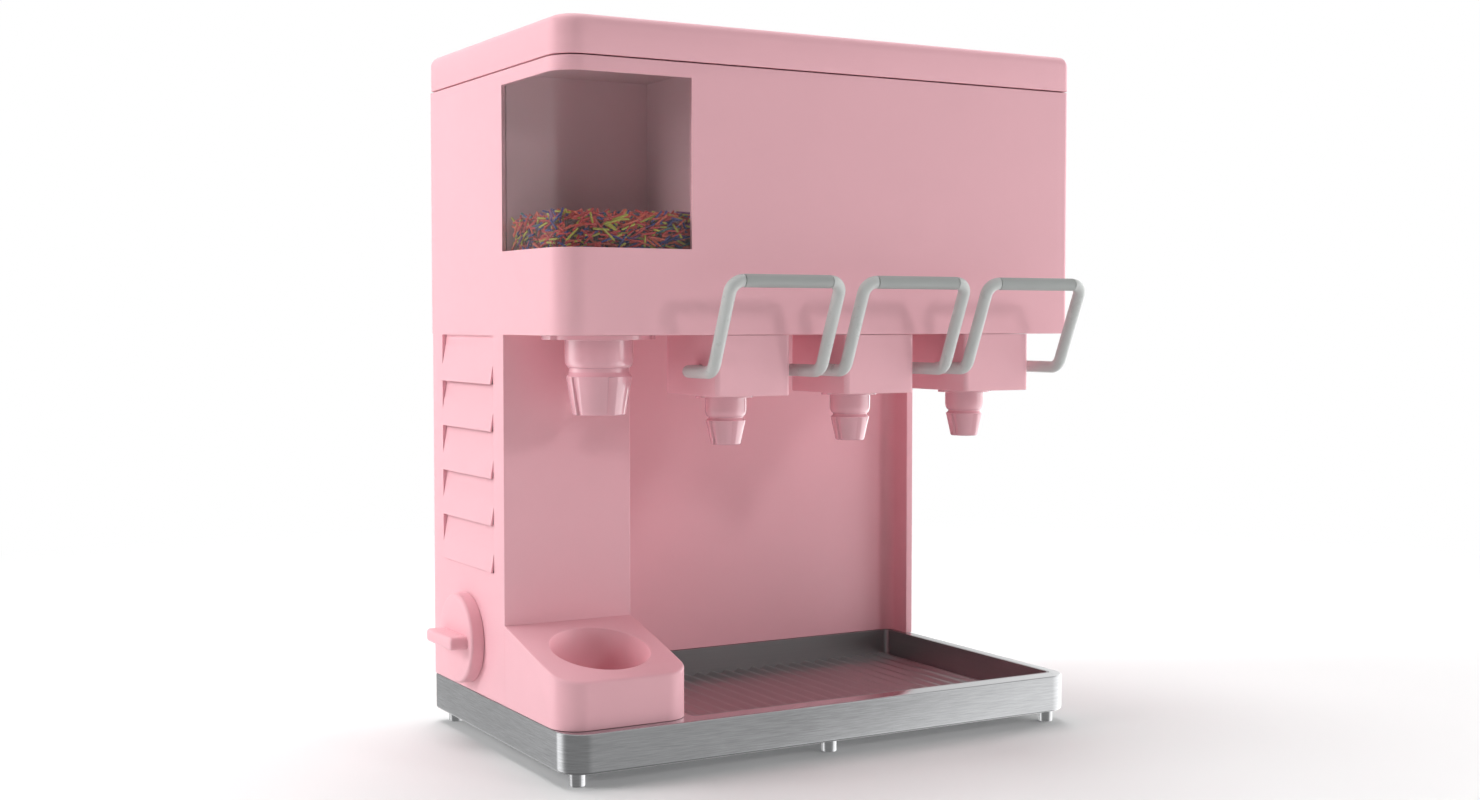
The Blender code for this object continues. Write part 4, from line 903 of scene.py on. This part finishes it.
def tube(name, path, radius, sides=40):
    """A round bar along a path, with flat ends."""
    shape = bmesh.new()
    across = (path[1] - path[0]).orthogonal()
    loops = []
    for index, point in enumerate(path):
        along = (path[min(index + 1, len(path) - 1)] - path[max(index - 1, 0)]).normalized()
        across = (across - along * across.dot(along)).normalized()
        loops.append(ring(shape, point, across, along.cross(across), radius, sides))
    bridge(shape, loops)
    shape.faces.new(loops[0][::-1])
    shape.faces.new(loops[-1])
    return as_object(name, shape, 40.0)


def make_lever(side):
    """The bar, with a thin groove at each end of its grip, and the sleeve round the grip."""
    body = f"handle_{side}"
    low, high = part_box(f"grip_sleeve_{side}")
    centre = centre_of(f"grip_sleeve_{side}")[1:]
    lever = tube(f"lever_{side}", lever_path(side), BAR_RADIUS)
    groove, core, clear = 0.0006, 0.0036, BAR_RADIUS * 1.5
    seams = [ring_tool("seam", centre, [(core, start), (clear, start), (clear, end), (core, end)])
             for start, end in ((low.x - groove, low.x), (high.x, high.x + groove))]
    cut(lever, *seams)
    smooth(lever.data, 40.0)
    finish_piece(lever, LEVER_GREY, body, body=body)

    radius, chamfer = 0.0048, 0.00035
    profile = [(radius - chamfer, low.x), (radius, low.x + chamfer), (radius, high.x - chamfer),
               (radius - chamfer, high.x)]
    sleeve = spun(f"lever_sleeve_{side}", centre, profile, "X", 64)
    finish_piece(sleeve, GRIP_GREY, f"grip_sleeve_{side}", body=body)


def ring_tool(name, centre, profile, sides=64):
    """A ring about an X axis through centre, from a closed profile of (radius, X) points."""
    shape = bmesh.new()
    loops = [[shape.verts.new((x, y, z)) for y, z in circle(centre, radius, sides)] for radius, x in profile]
    bridge(shape, loops + loops[:1])
    return as_object(name, shape)


# ---- knob ----
def make_knob():
    """A round dial with a bar grip across it, on a shaft."""
    low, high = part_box("knob")
    centre = centre_of("knob")[1:]
    radius, edge, bar = (high.z - low.z) / 2, 0.0028, 0.0138
    length, thick, corner, shaft = 0.054, 0.0100, 0.0032, 0.004
    face = low.x + bar
    rings = [(radius, LEFT - GAP)]
    rings += [(radius - edge * across, face + edge * up) for across, up in quarter(6)]
    dial = spun("knob_dial", centre, rings, "X", 128)
    outline = box_outline((centre[0] - length / 2, centre[1] - thick / 2),
                          (centre[0] + length / 2, centre[1] + thick / 2), corner)
    grip = prism("knob_grip", outline, low.x, face + 0.002, "X")
    round_edges(grip, 0.0022, 5, lambda edge: all(abs(vertex.co.x - low.x) < 1e-5 for vertex in edge.verts))
    join(dial, grip, rod("knob_shaft", centre, shaft, LEFT - 0.002, high.x, "X", 32))
    finish_piece(dial, PINK, "knob", body="knob")


# ---- back and inside ----
def screw_head(name, centre, radius, surface, slot_turn):
    """A low domed screw head with a slot, standing on the surface at this Y."""
    height = radius * 0.4
    dome = ((1, 0), (0.97, 0.45), (0.80, 0.85), (0.45, 1))
    head = spun(name, centre, [(radius * share, surface + height * rise) for share, rise in dome], "Y", 32)
    across = Vector((math.cos(slot_turn), math.sin(slot_turn)))
    side = Vector((-across.y, across.x)) * radius * 0.13
    ends = across * radius * 1.2
    outline = [Vector(centre) + corner for corner in (-ends - side, ends - side, ends + side, side - ends)]
    cut(head, prism("slot", outline, surface + height * 0.5, surface + height * 2, "Y"))
    return head


def make_hinge():
    """Two leaves with interleaved knuckles, each leaf held by a row of screws."""
    draw = random.Random(3)
    pivot_y, pivot_z = JOINTS["lid_hinge"]["pos_m"][1:]
    knuckle, bore, knuckles, clearance = 0.0035, 0.0019, 5, 0.0007
    fixed_low, fixed_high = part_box("hinge_fixed_leaf")
    left, right = fixed_low.x, fixed_high.x
    sheet_front, sheet_rear = fixed_low.y, fixed_low.y + 0.0015
    pitch = (right - left) / knuckles
    leaves = (("hinge_fixed_leaf", "hinge_leaf_lower", "cabinet", -1),
              ("hinge_lid_leaf", "hinge_leaf_upper", "lid", 1))
    for node, name, body, direction in leaves:
        low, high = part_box(node)
        near, far = sorted((pivot_z + direction * (knuckle + clearance), low.z if direction < 0 else high.z))
        outline = box_outline((left, near), (right, far), 0.001)
        leaf = prism(name, outline, sheet_front, sheet_rear, "Y")
        parts = []
        for number in range(knuckles):
            if (number % 2 == 0) != (direction < 0):
                continue
            start, end = left + pitch * number + GAP, left + pitch * (number + 1) - GAP
            bottom, top = sorted((pivot_z, pivot_z + direction * (knuckle + clearance + 0.001)))
            parts.append(block("tab", (start, sheet_front, bottom), (end, sheet_rear, top)))
            parts.append(rod("knuckle", (pivot_y, pivot_z), knuckle, start, end, "X", 48))
        join(leaf, *parts)
        cut(leaf, rod("bore", (pivot_y, pivot_z), bore, left - WALL, right + WALL, "X", 32))
        finish_piece(leaf, HINGE_STEEL, node, body=body)
        height = pivot_z + direction * 0.013
        for number in range(6):
            x = left + (right - left) * (number + 0.5) / 6
            turn = draw.uniform(0, math.pi)
            head = screw_head(f"{name}_screw_{number}", (x, height), 0.003, sheet_rear, turn)
            finish_piece(head, HINGE_STEEL, body=body)


def make_inlet():
    """Mains inlet with a flange, a shaped recess and three blades."""
    low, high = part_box("power_inlet")
    centre_x, centre_z = centre_of("power_inlet")[::2]
    margin, flange, depth = 0.004, 0.002, 0.013
    body = prism("mains_inlet", inset(low.xz, high.xz, margin, 0.002), low.y, high.y - flange / 2, "Y")
    plate = prism("plate", box_outline(low.xz, high.xz, 0.003), high.y - flange, high.y, "Y")
    round_edges(plate, 0.0006, 3, lambda edge: all(abs(vertex.co.y - high.y) < 1e-5 for vertex in edge.verts))
    join(body, plate)
    half_x, half_z, bevel, corner = 0.0115, 0.0085, 0.004, 0.001
    half = [(half_x, -half_z), (half_x, half_z - bevel), (half_x - bevel, half_z)]
    outline = half + [(-x, z) for x, z in reversed(half)]
    recess = filleted([(centre_x + x, centre_z + z, corner) for x, z in outline], 15.0)
    cut(body, prism("recess", recess, high.y - flange - depth, high.y + WALL, "Y"))
    finish_piece(body, BLACK, "power_inlet")
    wide, tall, front = 0.001, 0.002, high.y - 0.005
    for number, (x, z) in enumerate(((-0.007, -0.003), (0.007, -0.003), (0, 0.001))):
        x, z = centre_x + x, centre_z + z
        outline = box_outline((x - wide, z - tall), (x + wide, z + tall), 0.0004)
        blade = prism(f"inlet_blade_{number}", outline, high.y - flange - depth - 0.001, front, "Y")
        finish_piece(blade, MOTOR_STEEL)


def make_back_screws():
    """Three screws down each side of the back panel."""
    draw = random.Random(5)
    low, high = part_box("back_panel")
    margin, top_margin = 0.010, 0.030
    heights = (low.z + margin, (low.z + high.z) / 2, high.z - top_margin)
    spots = [(x, z) for x in (low.x + margin, high.x - margin) for z in heights]
    for number, spot in enumerate(spots):
        head = screw_head(f"back_screw_{number}", spot, 0.0036, high.y, draw.uniform(0, math.pi))
        finish_piece(head, HINGE_STEEL)


def make_hopper():
    """Three wells with round corners under one rim."""
    low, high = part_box("mix_hopper")
    sheet, corner, feed, feed_setback = 0.002, 0.010, 0.005, 0.172
    hopper = prism("mix_wells", box_outline(low.xy, high.xy, 0.006), low.z, high.z)
    taps = [centre_of(f"tap_block_{side}")[0] for side in SIDES]
    edges = [low.x, (taps[0] + taps[1]) / 2, (taps[1] + taps[2]) / 2, high.x]
    wells = [inset((left, low.y), (right, high.y), sheet, corner) for left, right in zip(edges, edges[1:])]
    cut(hopper, *[prism("well", well, low.z + sheet, high.z + WALL) for well in wells])
    cut(hopper, *[rod("feed", (x, low.y + feed_setback), feed, low.z - WALL, low.z + WALL, sides=32)
                  for x in taps])
    finish_piece(hopper, HOPPER_STEEL, "mix_hopper")


def dress_cad_nodes():
    """The frame's own parts that keep showing get a material and soft edges."""
    looks = {
        PINK: {"head_floor": 0.0005}, HINGE_STEEL: {"hinge_pin": 0.0003}, RUBBER: {"drive_belt": 0.0003},
        ENAMEL: {"compressor": 0.002}, FINS: {"condenser": 0.0003}, BOARD: {"control_board": 0.0003},
        MOTOR_STEEL: {"sprinkle_motor": 0.0006, "drive_motor": 0.001, "fan_motor": 0.0006},
        BLACK: {"motor_pulley": 0.0005, "fan_rotor": 0.0003, "rotary_switch": 0.0008,
                **{f"dasher_pulley_{side}": 0.0005 for side in SIDES}},
        HOPPER_STEEL: {f"freezing_barrel_{side}": 0.0006 for side in SIDES},
        WHITE: {"sprinkle_rotor": 0.0003, **{f"dasher_{side}": 0.0004 for side in SIDES},
                **{f"valve_piston_{side}": 0.0006 for side in SIDES}}}
    for material, edges in looks.items():
        for node, edge in edges.items():
            item = frame["nodes"][node]
            item.data.materials.clear()
            item.data.materials.append(material)
            smooth(item.data, 32.0)
            soften(item, edge)


# ---- stage ----
def make_floor():
    """A round pale floor that fades, away from the machine, into the white behind it."""
    near, far, radius = 0.55, 1.5, 6.0
    shape = bmesh.new()
    bmesh.ops.create_circle(shape, cap_ends=True, segments=96, radius=radius)
    floor = as_object("studio_floor", shape)
    material, tree, shader = new_material("pale_floor")
    position = coordinates(tree)
    cloud = noise(tree, position, 3.0)
    set_inputs(tree, shader, {"Base Color": tinted(tree, cloud, (0.88, 0.88, 0.88), 0.004), "Roughness": 0.7,
                              "Specular IOR Level": 0.2})
    distance = add(tree, "VectorMath", {0: position}, "Value", operation="LENGTH")
    fade = spread(tree, distance, 0, 1, near, far, "SMOOTHSTEP")
    seen = add(tree, "Math", {0: fade, 1: add(tree, "LightPath", {}, "Is Camera Ray")}, operation="MULTIPLY")
    glow = add(tree, "Emission", {"Color": (1, 1, 1, 1)})
    surface = add(tree, "MixShader", {"Fac": seen, 1: shader.outputs["BSDF"], 2: glow})
    set_inputs(tree, tree.nodes["Material Output"], {"Surface": surface})
    floor.data.materials.append(material)
    floor.visible_glossy = False


LIGHT_DISTANCE = 3.0
LIGHT_AIM = Vector((0, 0, 0.25))
# azimuth, elevation, side and power; azimuth 0 is in front, 90 on the machine's right
SOFT_BOXES = {"left": (-108, 22, 1.4, 50), "rear_left": (-150, 12, 1.4, 8), "front": (28, 20, 0.35, 12),
              "right_front": (56, 10, 1.4, 17), "right": (95, 12, 1.6, 40), "rear_right": (150, 12, 1.6, 10),
              "high_rear": (180, 72, 2.2, 70)}
WORLD_FILL = 0.18
# brightness that steel and gloss mirror, by azimuth, and towards the zenith and the ground
MIRRORED = ((-180, 0.80), (-160, 0.52), (-148, 0.62), (-138, 1.60), (-118, 1.4), (-100, 0.45), (-86, 0.31),
            (0, 0.32), (22, 0.46), (33, 0.50), (40, 1.2), (60, 1.6), (80, 1.9), (125, 1.9), (145, 0.75),
            (180, 0.70))
MIRRORED_ABOVE = 0.60
MIRRORED_BELOW = 0.22
MIRROR_PEAK = 2.0


def soft_box(name, azimuth, elevation, size, power):
    """A square light that faces the machine."""
    lamp = bpy.data.lights.new(name, "AREA")
    lamp.size = size
    lamp.energy = power
    item = bpy.data.objects.new(name, lamp)
    across, up = math.radians(azimuth), math.radians(elevation)
    away = Vector((math.sin(across) * math.cos(up), -math.cos(across) * math.cos(up), math.sin(up)))
    item.location = LIGHT_AIM + away * LIGHT_DISTANCE
    item.rotation_euler = away.to_track_quat("Z", "Y").to_euler()
    item.visible_camera = False
    item.visible_glossy = False
    bpy.context.scene.collection.objects.link(item)


def studio_walls(tree):
    """The mirrored studio's brightness, as a share of its peak, by direction."""
    x, y, z = (add(tree, "SeparateXYZ", {"Vector": coordinates(tree, "Generated")}, axis) for axis in "XYZ")
    ahead = add(tree, "Math", {0: y, 1: -1.0}, operation="MULTIPLY")
    azimuth = add(tree, "Math", {0: x, 1: ahead}, operation="ARCTAN2")
    share = spread(tree, azimuth, 0, 1, -math.pi, math.pi)
    walls = ramp(tree, share, [((angle + 180) / 360, [brightness / MIRROR_PEAK] * 3)
                               for angle, brightness in MIRRORED])
    for start, end, brightness in ((0.35, 0.75, MIRRORED_ABOVE), (-0.50, -0.85, MIRRORED_BELOW)):
        beyond = spread(tree, z, 0, 1, start, end, "SMOOTHSTEP")
        walls = add(tree, "Mix", {"Factor": beyond, "A": walls, "B": (*[brightness / MIRROR_PEAK] * 3, 1)},
                    "Result", data_type="RGBA")
    return walls


def make_light():
    """White surroundings with a weak fill. Glossy rays see the studio's walls instead."""
    world = bpy.data.worlds.new("studio")
    bpy.context.scene.world = world
    world.use_nodes = True
    tree = world.node_tree
    white = (1, 1, 1, 1)
    shown = tree.nodes["Background"]
    set_inputs(tree, shown, {"Color": white})
    fill = add(tree, "Background", {"Color": white, "Strength": WORLD_FILL})
    mirrored = add(tree, "Background", {"Color": studio_walls(tree), "Strength": MIRROR_PEAK})

    def choose(ray, other, for_ray):
        return add(tree, "MixShader", {"Fac": add(tree, "LightPath", {}, ray), 1: other, 2: for_ray})

    seen = choose("Is Camera Ray", choose("Is Glossy Ray", fill, mirrored), shown.outputs["Background"])
    set_inputs(tree, tree.nodes["World Output"], {"Surface": seen})
    for name, box in SOFT_BOXES.items():
        soft_box(name, *box)


def make_camera():
    """In front of the machine and to its left, looking slightly down."""
    data = bpy.data.cameras.new("camera")
    data.lens = 43.60
    data.sensor_width = 36.0
    data.clip_start, data.clip_end = 0.05, 50.0
    camera = bpy.data.objects.new("camera", data)
    camera.location = (LEFT - 0.50429, FRONT - 1.14031, 0.3285)
    camera.rotation_euler = (math.radians(90 - 2.533), 0, math.radians(-29.575))
    bpy.context.scene.collection.objects.link(camera)
    bpy.context.scene.camera = camera
    bpy.context.scene.view_settings.view_transform = "Standard"
    bpy.context.scene.view_settings.look = "None"


make_camera()
make_floor()
make_light()
make_base()
make_tray()
make_feet()
make_pillar_housing()
make_louvre()
make_head_housing()
make_bin()
make_window()
make_lid()
make_back_cover()
make_cone_rest()
make_sprinkles()
make_sprinkle_core()
make_nozzles()
for tap_side in SIDES:
    make_tap_body(tap_side)
    make_lever(tap_side)
make_knob()
make_hinge()
make_inlet()
make_back_screws()
make_hopper()
dress_cad_nodes()
